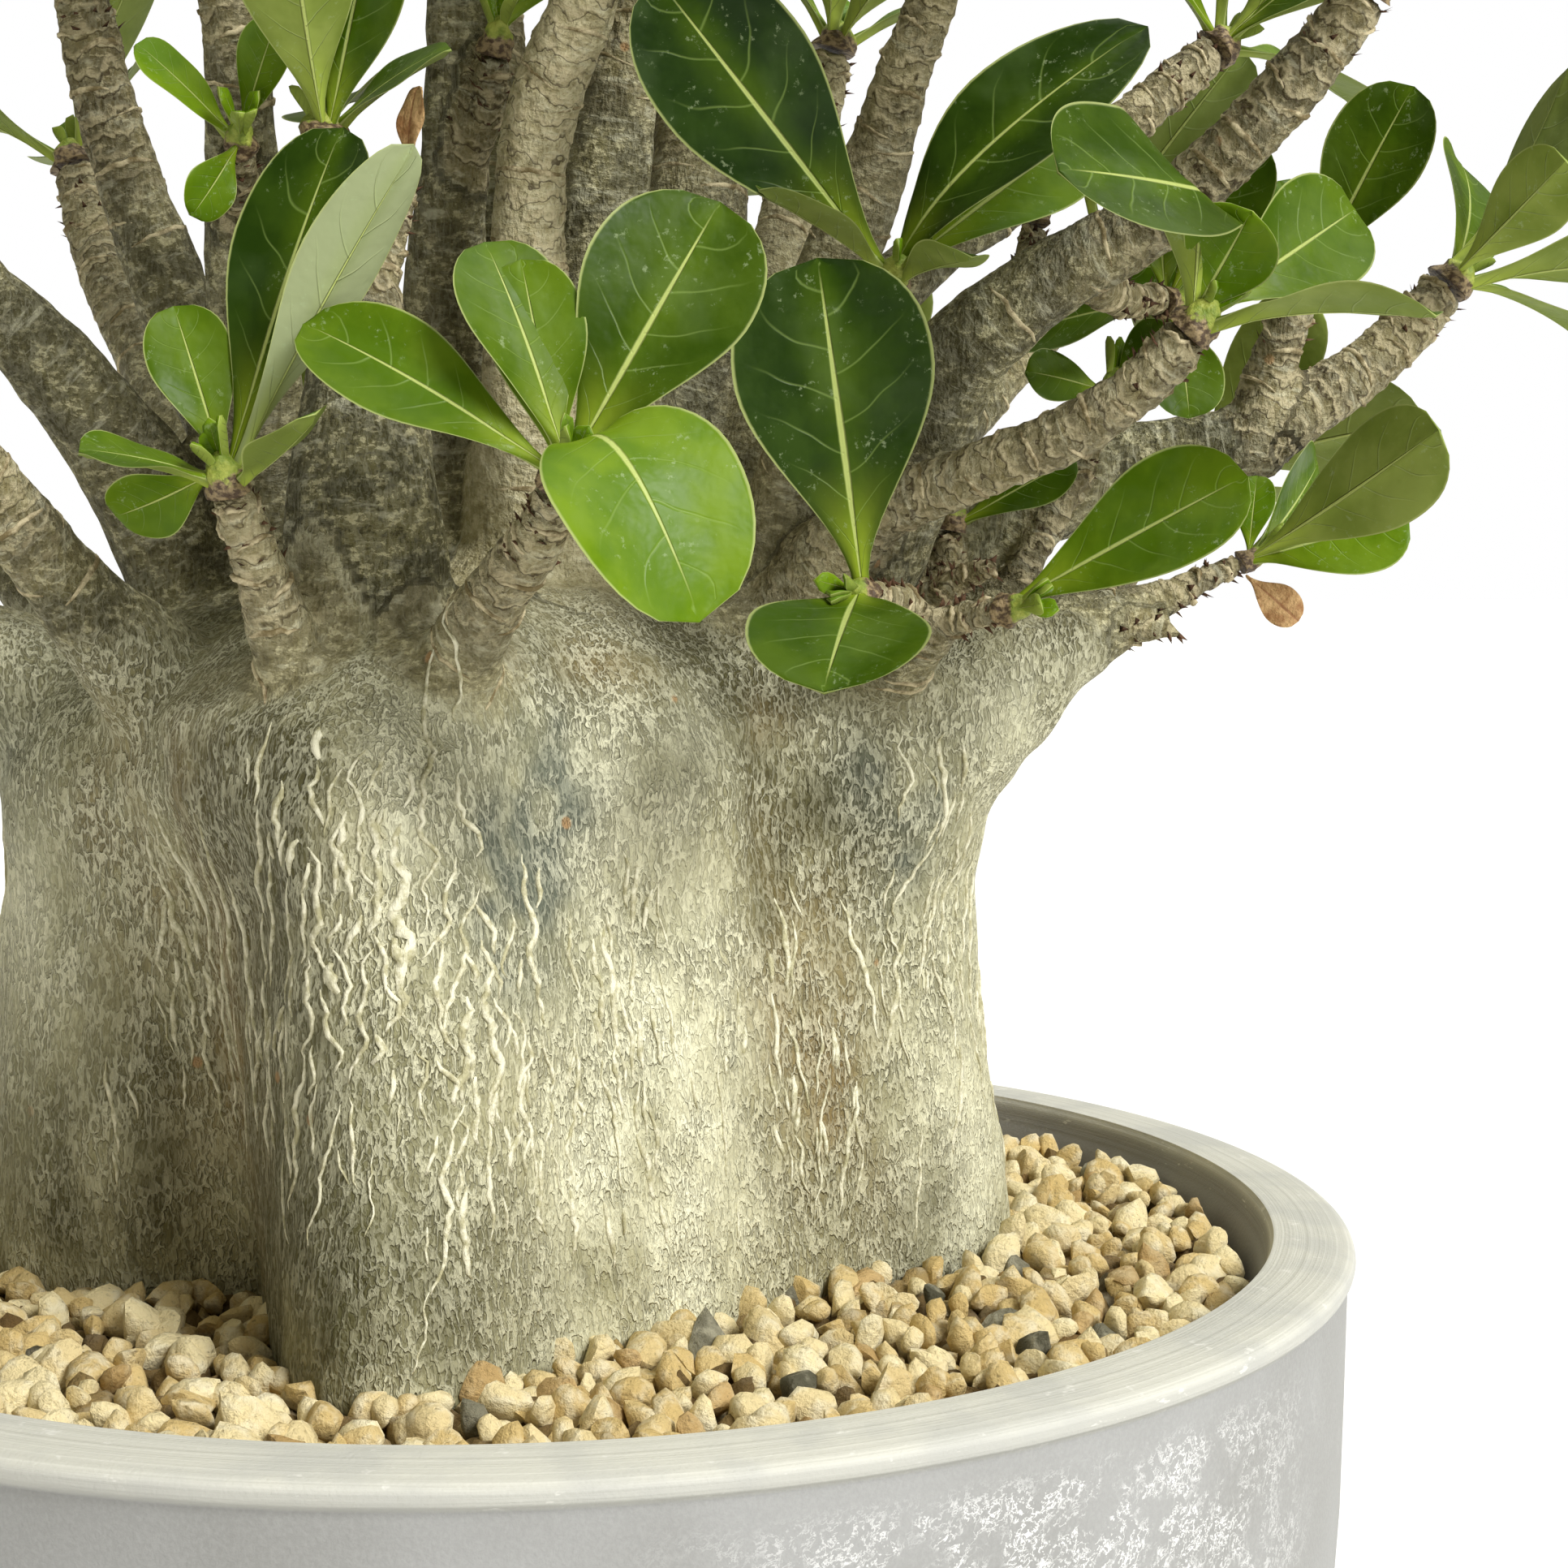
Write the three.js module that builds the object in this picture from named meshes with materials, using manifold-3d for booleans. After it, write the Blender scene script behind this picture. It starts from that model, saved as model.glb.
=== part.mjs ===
// A desert rose (adenium) grown as a bonsai: a squat fluted caudex with a crown of short
// branches, a leaf rosette at each tip, coarse gravel over a gritty root mix, and a round
// grey stoneware pot. Millimetres, +Z up, origin at the middle of the pot's flat underside.
import * as THREE from "three";
import { mergeVertices } from "three/addons/utils/BufferGeometryUtils.js";
import Module from "manifold-3d";

const wasm = await Module();
wasm.setup();

// Driving dimensions
const POT_HEIGHT = 95;
const POT_WALL_RADIUS = 136;
const POT_LIP_RADIUS = 137.2;
const RIM_INNER_RADIUS = 124;
const FOOT_RADIUS = 104;
const POT_FLOOR = 12;
const DRAIN_RADIUS = 6;
const DRAIN_CIRCLE = 62;
const DRAIN_COUNT = 5;
const SOIL_LEVEL = 88;
const GRAVEL_DEPTH = 5;
const MOUND = 4;
const GRAIN_SPACING = 10.4;
const GAP = 0.35;
const WALL_CLEARANCE = 0.8;
const ROOT_CLEARANCE = 0.45;
const LEAF_THICKNESS = 1.4;
const LEAF_CLEARANCE = 0.9;
const BUD_LENGTH = 6;

// How finely things are made, and the seeds of the random draws
const ROUND_SIDES = 48;
const DRAIN_SIDES = 12;
const BUD_SIDES = 5;
const TUBE_SIDES = [[7, 5], [12, 6], [Infinity, 8]];
const FINEST = 0.12;
const TOUCHING = 1e-4;
const GRAIN_SEED = 7;
const SPIRAL_SEED = 101;

const rad = THREE.MathUtils.degToRad;
const v3 = (a) => new THREE.Vector3(a[0], a[1], a[2]);
const within = ([low, high], share) => low + (high - low) * share;

// Materials
const finish = (color, roughness) => new THREE.MeshStandardMaterial({ color, roughness, metalness: 0 });
const STONEWARE = finish(0xa9aaa6, 0.75);
const ROOT_MIX = finish(0x9a8460, 0.95);
const GRAVEL = finish(0xd8bf8e, 0.9);
const BARK = finish(0x9c9580, 0.8);
const LEAF = finish(0x3f7a1f, 0.4);
const DRY_LEAF = finish(0xb07a45, 0.85);

// Seeded random numbers from 0 to 1
function randomFrom(seed) {
  let state = seed >>> 0;
  return () => {
    state = (state + 0x6d2b79f5) >>> 0;
    let t = state;
    t = Math.imul(t ^ (t >>> 15), t | 1);
    t ^= t + Math.imul(t ^ (t >>> 7), t | 61);
    return ((t ^ (t >>> 14)) >>> 0) / 4294967296;
  };
}

// A closed three.js geometry as a manifold solid, and back to a named mesh
function solidOf(geometry) {
  const bare = geometry.index ? geometry.toNonIndexed() : geometry.clone();
  bare.deleteAttribute("normal");
  bare.deleteAttribute("uv");
  const merged = mergeVertices(bare, 1e-4);
  return new wasm.Manifold(
    new wasm.Mesh({
      numProp: 3,
      vertProperties: new Float32Array(merged.attributes.position.array),
      triVerts: new Uint32Array(merged.index.array),
    }),
  );
}

// The largest of a solid's separate pieces, without crumbs or closed hollows
function biggest(solid) {
  return solid.decompose().reduce((best, piece) => (piece.volume() > best.volume() ? piece : best));
}

function meshOf(name, solid, material) {
  const data = biggest(solid.simplify(FINEST)).getMesh();
  const geometry = new THREE.BufferGeometry();
  geometry.setAttribute("position", new THREE.BufferAttribute(new Float32Array(data.vertProperties), 3));
  geometry.setIndex(new THREE.BufferAttribute(new Uint32Array(data.triVerts), 1));
  geometry.computeVertexNormals();
  const mesh = new THREE.Mesh(geometry, material);
  mesh.name = name;
  return mesh;
}

function closedGeometry(points, faces) {
  const geometry = new THREE.BufferGeometry();
  const numbers = points.flatMap((p) => [p.x, p.y, p.z]);
  geometry.setAttribute("position", new THREE.Float32BufferAttribute(numbers, 3));
  geometry.setIndex(faces);
  return geometry;
}

// A lathe about Z from [radius, height] points
function turned(profile, sides) {
  const points = profile.map(([r, z]) => new THREE.Vector2(r, z));
  return new THREE.LatheGeometry(points, sides).rotateX(Math.PI / 2);
}

// Rings of points, lowest first, closed by a centre point at each end
function skin(rings, bottom, top) {
  const sides = rings[0].length;
  const points = [bottom, ...rings.flat(), top];
  const last = points.length - 1;
  const faces = [];
  rings.forEach((ring, k) => {
    for (let i = 0; i < sides; i++) {
      const j = (i + 1) % sides;
      const here = 1 + k * sides;
      const next = here + sides;
      if (k === 0) faces.push(0, here + j, here + i);
      if (k === rings.length - 1) faces.push(last, here + i, here + j);
      else faces.push(here + i, here + j, next + j, here + i, next + j, next + i);
    }
  });
  return closedGeometry(points, faces);
}

// A value from a table of [place, value, ...] rows, in proportion between two rows
function between(table, place, column = 1) {
  if (place <= table[0][0]) return table[0][column];
  for (let i = 1; i < table.length; i++) {
    if (place <= table[i][0]) {
      const share = (place - table[i - 1][0]) / (table[i][0] - table[i - 1][0]);
      return within([table[i - 1][column], table[i][column]], share);
    }
  }
  return table[table.length - 1][column];
}

// Pot: a thick drum with a flat rim, a small lip and a rounded lower edge. The inside of its
// wall has a height and a radius at each step, from the floor up.
const INNER_WALL = [
  [POT_FLOOR, 98],
  [26, 112],
  [POT_HEIGHT - 9, RIM_INNER_RADIUS - 3],
];
const fillRadius = (z) => between(INNER_WALL, z) - WALL_CLEARANCE;

function pot() {
  const outline = [
    [0, 0],
    [FOOT_RADIUS, 0],
    [117, 6],
    [128, 17],
    [POT_WALL_RADIUS - 1.5, 38],
    [POT_WALL_RADIUS, POT_HEIGHT - 6.5],
    [POT_LIP_RADIUS, POT_HEIGHT - 4.6],
    [POT_LIP_RADIUS - 0.4, POT_HEIGHT - 1.6],
    [RIM_INNER_RADIUS, POT_HEIGHT],
    ...INNER_WALL.map(([z, r]) => [r, z]).reverse(),
    [0, POT_FLOOR],
  ];
  let body = solidOf(turned(outline, ROUND_SIDES));
  for (let i = 0; i < DRAIN_COUNT; i++) {
    const angle = (i / DRAIN_COUNT) * 2 * Math.PI;
    const hole = new THREE.CylinderGeometry(DRAIN_RADIUS, DRAIN_RADIUS, POT_FLOOR * 3, DRAIN_SIDES);
    hole.rotateX(Math.PI / 2);
    hole.translate(DRAIN_CIRCLE * Math.cos(angle), DRAIN_CIRCLE * Math.sin(angle), 0);
    body = body.subtract(solidOf(hole));
  }
  return body;
}

// Caudex: a core that changes with height, and lobes that stand out of it.
// Each lobe has its angle and half width in degrees, and how far it stands out at the soil,
// at mid height and at the shoulder. A negative one is a furrow.
const CORE_AT_SOIL = 58;
const CORE = [
  [58, 40],
  [72, 52],
  [SOIL_LEVEL, CORE_AT_SOIL],
  [120, 57],
  [150, 55.5],
  [168, 56],
  [178, 53],
  [187, 47],
  [195, 38],
  [203, 22],
];
const LOBE_HEIGHTS = [SOIL_LEVEL, 150, 180];
const LOBES = [
  [-97, 17, 36, 29, 22],
  [-120, 22, 0, 6, 18],
  [-66, 15, 8, -3, -1],
  [-42, 12, 0, -3, -6],
  [2, 25, 25, 21, 26],
  [32, 16, 12, 8, 10],
  [95, 26, 25, 21, 20],
  [148, 18, 18, 20, 20],
  [-172, 24, 28, 26, 26],
  [-134, 10, -10, -2, 2],
];
// Hollows and swellings that the lobes don't give: angle and height of the middle, half width in
// degrees, half height, and how far out.
const SWELLS = [
  [-80, 170, 11, 13, -6],
  [-33, 164, 6, 17, -6],
  [-17, 163, 10, 15, 4],
];
const CAUDEX_RINGS = [58, 72, 84, 92, 102, 113, 125, 137, 148, 157, 165, 172, 179, 186, 192, 198, 203];
// Directions round the caudex in degrees, closer together on the fluted front
const CAUDEX_SIDES = [
  -180, -170, -162, -155, -149, -144, -139, -134, -129, -124, -118, -112, -106, -100, -94, -88, -82, -76,
  -70, -64, -57, -50, -43, -36, -29, -22, -15, -8, -1, 7, 16, 26, 36, 46, 56, 66, 76, 86, 96, 106, 116, 126,
  136, 146, 155, 163, 172,
];

// The turn in degrees from one direction to another, between -180 and 180
function turnFrom(angle, degrees) {
  return THREE.MathUtils.euclideanModulo(degrees - angle + 180, 360) - 180;
}

function caudexRadius(degrees, z) {
  const core = between(CORE, z);
  const fade = Math.min(core / CORE_AT_SOIL, 1);
  const lobes = LOBES.map(([angle, width, ...reach]) => {
    const out = between(LOBE_HEIGHTS.map((height, i) => [height, reach[i]]), z);
    return out * fade * Math.exp(-((turnFrom(angle, degrees) / width) ** 2));
  });
  const swells = SWELLS.map(([angle, height, width, tall, out]) => {
    return out * Math.exp(-((turnFrom(angle, degrees) / width) ** 2) - ((z - height) / tall) ** 2);
  });
  return [...lobes, ...swells].reduce((sum, out) => sum + out, core);
}

function caudex(grow = 0) {
  const rings = CAUDEX_RINGS.map((z) =>
    CAUDEX_SIDES.map((degrees) => {
      const r = caudexRadius(degrees, z) + grow;
      return new THREE.Vector3(r * Math.cos(rad(degrees)), r * Math.sin(rad(degrees)), z);
    }),
  );
  const low = CAUDEX_RINGS[0] - 3 - grow;
  const high = CAUDEX_RINGS[CAUDEX_RINGS.length - 1] + 1 + grow;
  return solidOf(skin(rings, new THREE.Vector3(0, 0, low), new THREE.Vector3(0, 0, high)));
}

// Branches: name, then points of [x, y, z, radius] from inside what carries them to the tip.
const BRANCHES = [
  ["core", [8, 2, 172, 40], [10, 3, 192, 31], [15, 4, 212, 17], [17, 5, 230, 11]],
  ["a1", [-17, -40, 176, 18], [-16, -48, 198, 13.5], [-16, -50, 214, 11.6], [-16, -48, 231, 8.6],
    [-18, -44, 246, 5.6], [-22, -41, 262, 4.2]],
  ["a1_stub", [-16, -46, 240, 4.5], [-12, -44, 250, 3], [-9.5, -43, 257, 2]],
  ["a2", [-24, -56, 182, 7], [-26, -63, 192, 5.2], [-28, -68, 202, 4.1], [-30.5, -74, 212, 3.3]],
  ["a3", [-5, -54, 180, 9], [0, -63, 190, 6.2], [6.3, -72, 199, 4.7], [12.6, -80, 207, 3.8],
    [15.2, -85, 212.5, 3.3]],
  ["a4", [4, -10, 200, 11], [5.5, -20, 235, 7.4], [5.7, -22, 250, 6.2], [8, -26, 268, 6],
    [14.7, -32, 283, 5.3], [21, -37, 296, 4.7], [27, -42, 309, 4.2]],
  ["a5", [-8, -3, 195, 11], [-9.4, -5, 238, 7.2], [-7, -8, 264, 6.2], [-5.7, -10, 288, 5.6],
    [-7, -13, 314, 4.6]],
  ["a5_spur", [-6, -8, 262, 3.6], [-1, -14, 272, 3.1], [0.5, -17, 279, 2.9]],
  ["a6", [-30, -8, 192, 11], [-36, -18, 225, 7.6], [-37, -25, 258, 5.8], [-37, -31, 282, 5.1],
    [-42, -36, 302, 4.4]],
  ["a6_spur", [-36, -24, 252, 3.2], [-36, -33, 258, 2.8], [-35, -38, 262, 2.6]],
  ["a7", [17, 5, 222, 12], [15.5, 5, 256, 8.6], [21, 5, 288, 6.4], [30, 3, 314, 4.8]],
  ["a8", [46, 2, 184, 15], [60, -5, 208, 10.4], [71, -12, 231, 8.2], [85.6, -18, 244.5, 6.5],
    [101, -24, 253, 5.9], [114, -30, 265, 5.2], [126, -36, 279, 4.8], [130, -38, 285, 4.5]],
  ["a8_spur", [84, -15, 244, 3.4], [84, -9, 250, 2.8], [84.5, -8, 254, 2.6]],
  ["a8_low", [90, -18, 247, 4], [98, -4, 243, 3.2], [106, 4, 243, 2.8]],
  ["a9", [44, -10, 190, 8.5], [57, -20, 207, 6], [71.4, -28, 214, 4.9], [88, -36, 221, 4.6],
    [99, -42, 229, 4.2], [104, -45, 235, 3.8]],
  ["a10", [46, 26, 205, 10], [60, 31, 243, 6.2], [84, 39, 262, 5.1], [104, 45, 276, 4.7],
    [121, 52, 290, 4]],
  ["a10_up", [38, 12, 205, 11], [50, 16, 240, 7.4], [59, 15, 263, 6], [64, 10, 279, 4.8],
    [70, 5, 293, 4.2], [76, 2, 305, 3.8]],
  ["a11", [56, 14, 184, 14], [77, 20, 207, 9.8], [105, 25, 216, 8.2], [127, 25, 221, 7.2]],
  ["a11_up", [124, 25, 218, 6.6], [127.6, 22, 234, 4.8], [130.5, 19, 243, 3.8], [132, 18, 247, 3.5]],
  ["a11_out", [122, 25, 219, 6.8], [146, 28, 235, 5.2], [158, 30, 247, 4.2]],
  ["a12", [60, -3, 168, 20], [76, -5, 180, 13.4], [89, -5, 188, 8.4], [102, -2, 193, 4.9],
    [112, 0, 197.5, 2.6], [119, 1.5, 200.5, 2]],
  ["a12_stub", [97, -3, 190.5, 4], [104, -5, 190, 2.6], [109.5, -6, 189.3, 1.3]],
  ["a13", [58, -20, 182, 6], [64, -36, 194, 3.2], [57, -48, 197, 2.6]],
  ["a13_right", [62, -22, 184, 5.5], [70, -35, 192.5, 3.1], [77, -42, 194.4, 2.7]],
  ["a13_stub", [60, -14, 188, 5], [71, -24, 198, 2.7], [77.5, -29, 201, 1.9]],
  ["a14", [40, -4, 198, 8], [50, -15, 226, 4.6], [57, -26, 238, 3.6], [60.5, -32, 243, 3.1]],
  ["a15", [72, 6, 184, 5], [83, 10, 197, 2.9], [93, 12, 214, 2.6], [98, 12, 227, 2.4]],
  ["a16", [66, 4, 184, 4.5], [71, 6, 197, 2.8], [72.5, 6, 205.5, 2.5]],
  ["b1", [-56, -4, 170, 19], [-76, -9, 181, 12.5], [-93, -15, 192, 8], [-110, -22, 207, 6],
    [-124, -28, 224, 4.7]],
  ["b2", [-42, 2, 182, 15], [-56, -4, 210, 10], [-70, -12, 232, 7.2], [-86, -20, 250, 5.8],
    [-98, -27, 268, 4.8], [-104, -30, 282, 4.4]],
  ["b3", [-38, 30, 180, 15], [-52, 43, 208, 9], [-67, 57, 232, 6.8], [-80, 68, 254, 5.2],
    [-86, 74, 272, 4.4]],
  ["b4", [0, 44, 180, 16], [4, 60, 208, 9], [6, 77, 234, 6.8], [10, 92, 256, 5.2], [12, 99, 272, 4.4]],
  ["b5", [38, 36, 180, 15], [56, 50, 206, 9], [76, 64, 226, 6.8], [94, 77, 244, 5.2], [104, 84, 260, 4.4]],
  ["b6", [-8, 20, 195, 14], [-7, 27, 234, 8.6], [-5.5, 32, 268, 6.8], [-5, 37, 296, 5.4],
    [-8, 41, 314, 4.5]],
  ["b7", [-46, -28, 178, 12], [-60, -44, 198, 7], [-72, -57, 218, 5.2], [-79, -65, 236, 4.3]],
  ["b8", [-28, 2, 195, 12], [-52, 6, 238, 7], [-64, 5, 272, 5.4], [-69, 4, 298, 4.5]],
  ["b9", [30, 40, 200, 9], [42, 60, 250, 5.6], [50, 66, 276, 4.8], [54, 68, 292, 4.2]],
  ["b10", [-60, 20, 178, 12], [-84, 28, 198, 7.2], [-104, 36, 220, 5.2], [-114, 40, 240, 4.3]],
  ["b11", [14, 48, 172, 12], [34, 84, 198, 6.2], [46, 104, 222, 4.3]],
  ["b12", [-20, 48, 172, 12], [-36, 84, 196, 6.2], [-44, 104, 220, 4.3]],
  ["b13", [54, 20, 172, 13], [94, 42, 192, 6.6], [118, 56, 214, 4.3]],
  ["b14", [24, 14, 196, 14], [28, 24, 230, 11], [30, 30, 262, 9], [29, 35, 284, 7], [26, 38, 302, 5]],
];

// Side twigs on the branches that the viewer of the front doesn't see: branch, share of its
// length, heading and rise in degrees, length. A twig bends up by TWIG_LIFT at its tip.
const TWIGS = [
  ["b1", 0.62, -100, 40, 32],
  ["b2", 0.58, 170, 35, 32],
  ["b4", 0.55, 40, 45, 32],
  ["b6", 0.62, 120, 50, 32],
];
const TWIG_LIFT = 5;
const TWIG_TIP = 3.8;
const TWIG_FOOT = 0.8;
const TWIG_STEPS = 20;

// Points and radii along a branch's smooth curve
function samples(points, count) {
  const curve = new THREE.CatmullRomCurve3(points.map(v3), false, "catmullrom", 0.5);
  const last = points.length - 1;
  return Array.from({ length: count + 1 }, (_, i) => {
    const t = i / count;
    const k = Math.min(Math.floor(t * last), last - 1);
    const share = t * last - k;
    return {
      at: curve.getPoint(t),
      along: curve.getTangent(t),
      r: within([points[k][3], points[k + 1][3]], share),
    };
  });
}

// A tube along a branch, with more sides on a thick one and the cross-section of a round one
function tube(points) {
  const [, sides] = TUBE_SIDES.find(([thickest]) => points[0][3] <= thickest);
  const full = Math.sqrt((2 * Math.PI) / (sides * Math.sin((2 * Math.PI) / sides)));
  const run = samples(points, Math.max(3, points.length - 1));
  let side = new THREE.Vector3(1, 0, 0);
  const rings = run.map(({ at, along, r }) => {
    side = side.clone().addScaledVector(along, -side.dot(along)).normalize();
    const other = new THREE.Vector3().crossVectors(along, side);
    return Array.from({ length: sides }, (_, i) => {
      const a = (i / sides) * 2 * Math.PI;
      return at
        .clone()
        .addScaledVector(side, r * full * Math.cos(a))
        .addScaledVector(other, r * full * Math.sin(a));
    });
  });
  return solidOf(skin(rings, run[0].at, run[run.length - 1].at));
}

function twigPoints([carrier, share, heading, rise, length]) {
  const points = BRANCHES.find(([name]) => name === carrier).slice(1);
  const { at, r } = samples(points, TWIG_STEPS)[Math.round(share * TWIG_STEPS)];
  const way = new THREE.Vector3(
    Math.cos(rad(heading)) * Math.cos(rad(rise)),
    Math.sin(rad(heading)) * Math.cos(rad(rise)),
    Math.sin(rad(rise)),
  );
  return [0, 0.5, 1].map((t) => {
    const p = at.clone().addScaledVector(way, length * t);
    return [p.x, p.y, p.z + TWIG_LIFT * t * t, within([r * TWIG_FOOT, TWIG_TIP], Math.sqrt(t))];
  });
}

// Leaf rosettes: the branch that carries it, its leaves as [tip offset x, y, z, face x, y, z,
// width, bend, lean, fold], then how many more leaves the spiral rule adds. The face is the way the
// blade's upper side looks, and bend is the arc in degrees from base to tip. A fold turns the outer
// blade over onto its underside: how far out it is, its slant and its turn in degrees.
const ROSETTES = [
  ["a1", [[8, -5, 31, -0.2, -0.95, 0.2, 16, 12], [20, -2, 8, -0.1, -0.5, 0.9, 11, 20]], 2],
  ["a2", [[13, -13, 9, -0.3, -0.1, 0.95, 13, -15], [-17, -8, 4, 0.1, -0.3, 0.95, 14, 15],
    [15, 6, 47, -0.4, -0.9, 0.1, 19, 14], [26, -7, 43, -0.65, 0.72, 0.1, 12, 10],
    [-7, 3, 22, 0.25, -0.9, 0.2, 12, 10], [-9, 9, -14, 0.4, -0.8, 0.3, 11, 25]], 0],
  ["a3", [[-34, 5, 20, -0.2, -0.7, 0.68, 16, 22], [-5.5, 5, 28, 0.15, -0.95, 0.2, 14, 8],
    [20, 11, 36, 0.05, -0.93, 0.3, 24, 8], [17.5, -16, -18.5, 0.1, -0.6, 0.8, 28, 150, 0.06]], 1],
  ["a4", [], 5],
  ["a5", [], 5],
  ["a5_spur", [[2, -4, 24, 0.1, -0.95, 0.2, 13, 10]], 1],
  ["a6", [], 5],
  ["a6_spur", [[-13, -6, 13, 0.4, -0.65, 0.65, 10, 12], [-6, -5, -11, 0.7, -0.6, 0.2, 8, 20],
    [6, -3, 16, -0.2, -0.9, 0.3, 9, 10]], 0],
  ["a7", [], 5],
  ["a8", [[-3, -12, 20, 0, -0.8, 0.6, 14, 20]], 4],
  ["a8_spur", [[-1, 0, 20, 0, -0.97, 0.2, 15, 6], [12, 4, 12, -0.5, -0.8, 0.3, 11, 12]], 0],
  ["a8_low", [[-17, 6, 22, 0.2, -0.9, 0.3, 15, 12], [13, -6, 24, -0.2, -0.95, 0.2, 14, 10],
    [-30, 4, 2, 0.1, -0.8, 0.6, 13, 20], [2, -5, -18, 0.1, -0.9, 0.3, 13, 15]], 0],
  ["a9", [[8, -5, 15, -0.2, -0.95, 0.25, 15, -20],
    [3, -4, 47, 0.1, 1, 0.1, 27, 12, 0.5, [8.5, -36, 115]]], 2],
  ["a10", [[-15, -8, 14, 0.3, -0.6, 0.7, 12, 15], [22, -8, 16, -0.4, -0.7, 0.6, 13, 15]], 3],
  ["a10_up", [], 5],
  ["a11_up", [[14, -8, 30, -0.4, -0.85, 0.3, 18, 12], [-5, -4, 14, 0.3, -0.9, 0.2, 9, 10],
    [-14, 3, -14, 0, -0.9, 0.35, 12, 25], [-27, 6, -12, 0.1, -0.85, 0.4, 14, 20]], 1],
  ["a11_out", [], 5],
  ["a12", [[25, -4, 7, -0.15, -0.88, 0.45, 17, 12], [2, 5, 13, -0.2, -0.9, 0.1, 7, 8]], 2],
  ["a13", [[-6.5, -4, 47, 0.03, -0.97, 0.2, 29, 12], [-5.5, -26, -12, 0, -0.42, 0.9, 26, 30, 0.3]], 0],
  ["a13_right", [[33.5, -8, 19, -0.3, -0.82, 0.48, 20, 6]], 0],
  ["a14", [[-34, -9, 42, -0.35, -0.85, 0.4, 24, 10], [36, -8, 35, -0.55, -0.75, 0.35, 21, 50, 0.25],
    [-19, -12, 11, 0.3, 0.12, 0.95, 14, 12], [10, -15, 2, 0.2, 0.1, 0.97, 11, 15]], 1],
  ["a15", [[-12, -2, 8, 0.2, -0.8, 0.5, 10, 15], [9, -3, 10, -0.2, -0.8, 0.5, 10, 15]], 1],
  ["a16", [[19, -2, 10.5, -0.25, -0.8, 0.5, 11, 12]], 0],
  ["b1", [], 4],
  ["b2", [], 4],
  ["b3", [], 4],
  ["b4", [], 4],
  ["b5", [], 4],
  ["b6", [], 4],
  ["b7", [], 4],
  ["b8", [], 4],
  ["b9", [], 4],
  ["b10", [], 4],
  ["b11", [], 4],
  ["b12", [], 4],
  ["b13", [], 4],
  ["b14", [], 4],
  ...TWIGS.map((_, i) => [`twig${i + 1}`, [], 4]),
];

// Dry leaves that still hang on: name, base, tip offset, face, width, bend
const DRY_LEAVES = [
  ["dry_leaf_left", [-9.3, -43.5, 258.1], [1.5, -1, 12.4], [-0.6, -0.8, 0.1], 5.5, 30],
  ["dry_leaf_right", [120.3, 0.4, 198.4], [7.7, -3.9, -7], [-0.3, -0.9, 0.3], 6.4, 45],
];

// A leaf that would cross its neighbours is swung, tipped or shortened by the first of these
// that clears it: swing and tip in degrees, and a share of its length.
const SETTLE = [
  [0, 0, 1], [12, 0, 1], [-12, 0, 1], [0, 12, 1], [0, -12, 1], [24, 0, 1], [-24, 0, 1],
  [0, 24, 0.95], [0, -24, 0.95], [16, 16, 0.9], [-16, 16, 0.9], [16, -16, 0.9], [-16, -16, 0.9],
  [0, 0, 0.8], [36, 0, 0.85], [-36, 0, 0.85], [0, 36, 0.8], [0, -36, 0.8], [30, 30, 0.75],
  [-30, 30, 0.75], [0, 0, 0.6],
];
const MIN_LEAF = 10;

// Half width of the blade along its length, as a share of its greatest
const BLADE = [[0, 0.1], [0.34, 0.48], [0.66, 1], [0.93, 0.68]];
const PLAIN_BLADE = [[0, 0.1], [0.45, 0.78], [0.86, 0.9]];
const FOLDED_STEPS = [0, 0.16, 0.27, 0.34, 0.41, 0.48, 0.56, 0.66, 0.8, 0.93];
const FOLD_RADIUS = 4;
const SHARP_BEND = 30;
const BROAD = 18;
const MID_LEAN = 0.5;
const FOLD = 0.16;
const STALK_DEPTH = 0.7;
const BLADE_DEPTH = 0.5;

// The chord from base to tip, turned by one way of settling
function settled(offset, face, [swing, tip, share]) {
  const chord = v3(offset);
  const out = v3(face).normalize();
  out.addScaledVector(chord, -out.dot(chord) / chord.lengthSq()).normalize();
  const across = new THREE.Vector3().crossVectors(chord, out).normalize();
  chord.applyAxisAngle(out, rad(swing)).applyAxisAngle(across, rad(tip)).multiplyScalar(share);
  out.applyAxisAngle(across, rad(tip));
  return { chord, out };
}

// A point of a blade after its outer part has turned over with a bend of FOLD_RADIUS
function turnedOver(point, base, { chord, out }, [reach, slant, turn]) {
  const across = new THREE.Vector3().crossVectors(chord, out).normalize();
  const away = chord.clone().setLength(Math.cos(rad(slant))).addScaledVector(across, Math.sin(rad(slant)));
  const from = point.clone().sub(base);
  const beyond = from.dot(away) - reach;
  if (beyond <= 0) return point;
  const high = from.dot(out);
  const angle = Math.min(beyond / FOLD_RADIUS, rad(turn));
  const straight = beyond - FOLD_RADIUS * angle;
  const ahead = away.clone().multiplyScalar(Math.cos(angle)).addScaledVector(out, -Math.sin(angle));
  const upper = out.clone().multiplyScalar(Math.cos(angle)).addScaledVector(away, Math.sin(angle));
  return point
    .clone()
    .addScaledVector(away, -beyond)
    .addScaledVector(out, -high)
    .addScaledVector(away, FOLD_RADIUS * Math.sin(angle))
    .addScaledVector(out, -FOLD_RADIUS * (1 - Math.cos(angle)))
    .addScaledVector(ahead, straight)
    .addScaledVector(upper, high);
}

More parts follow.
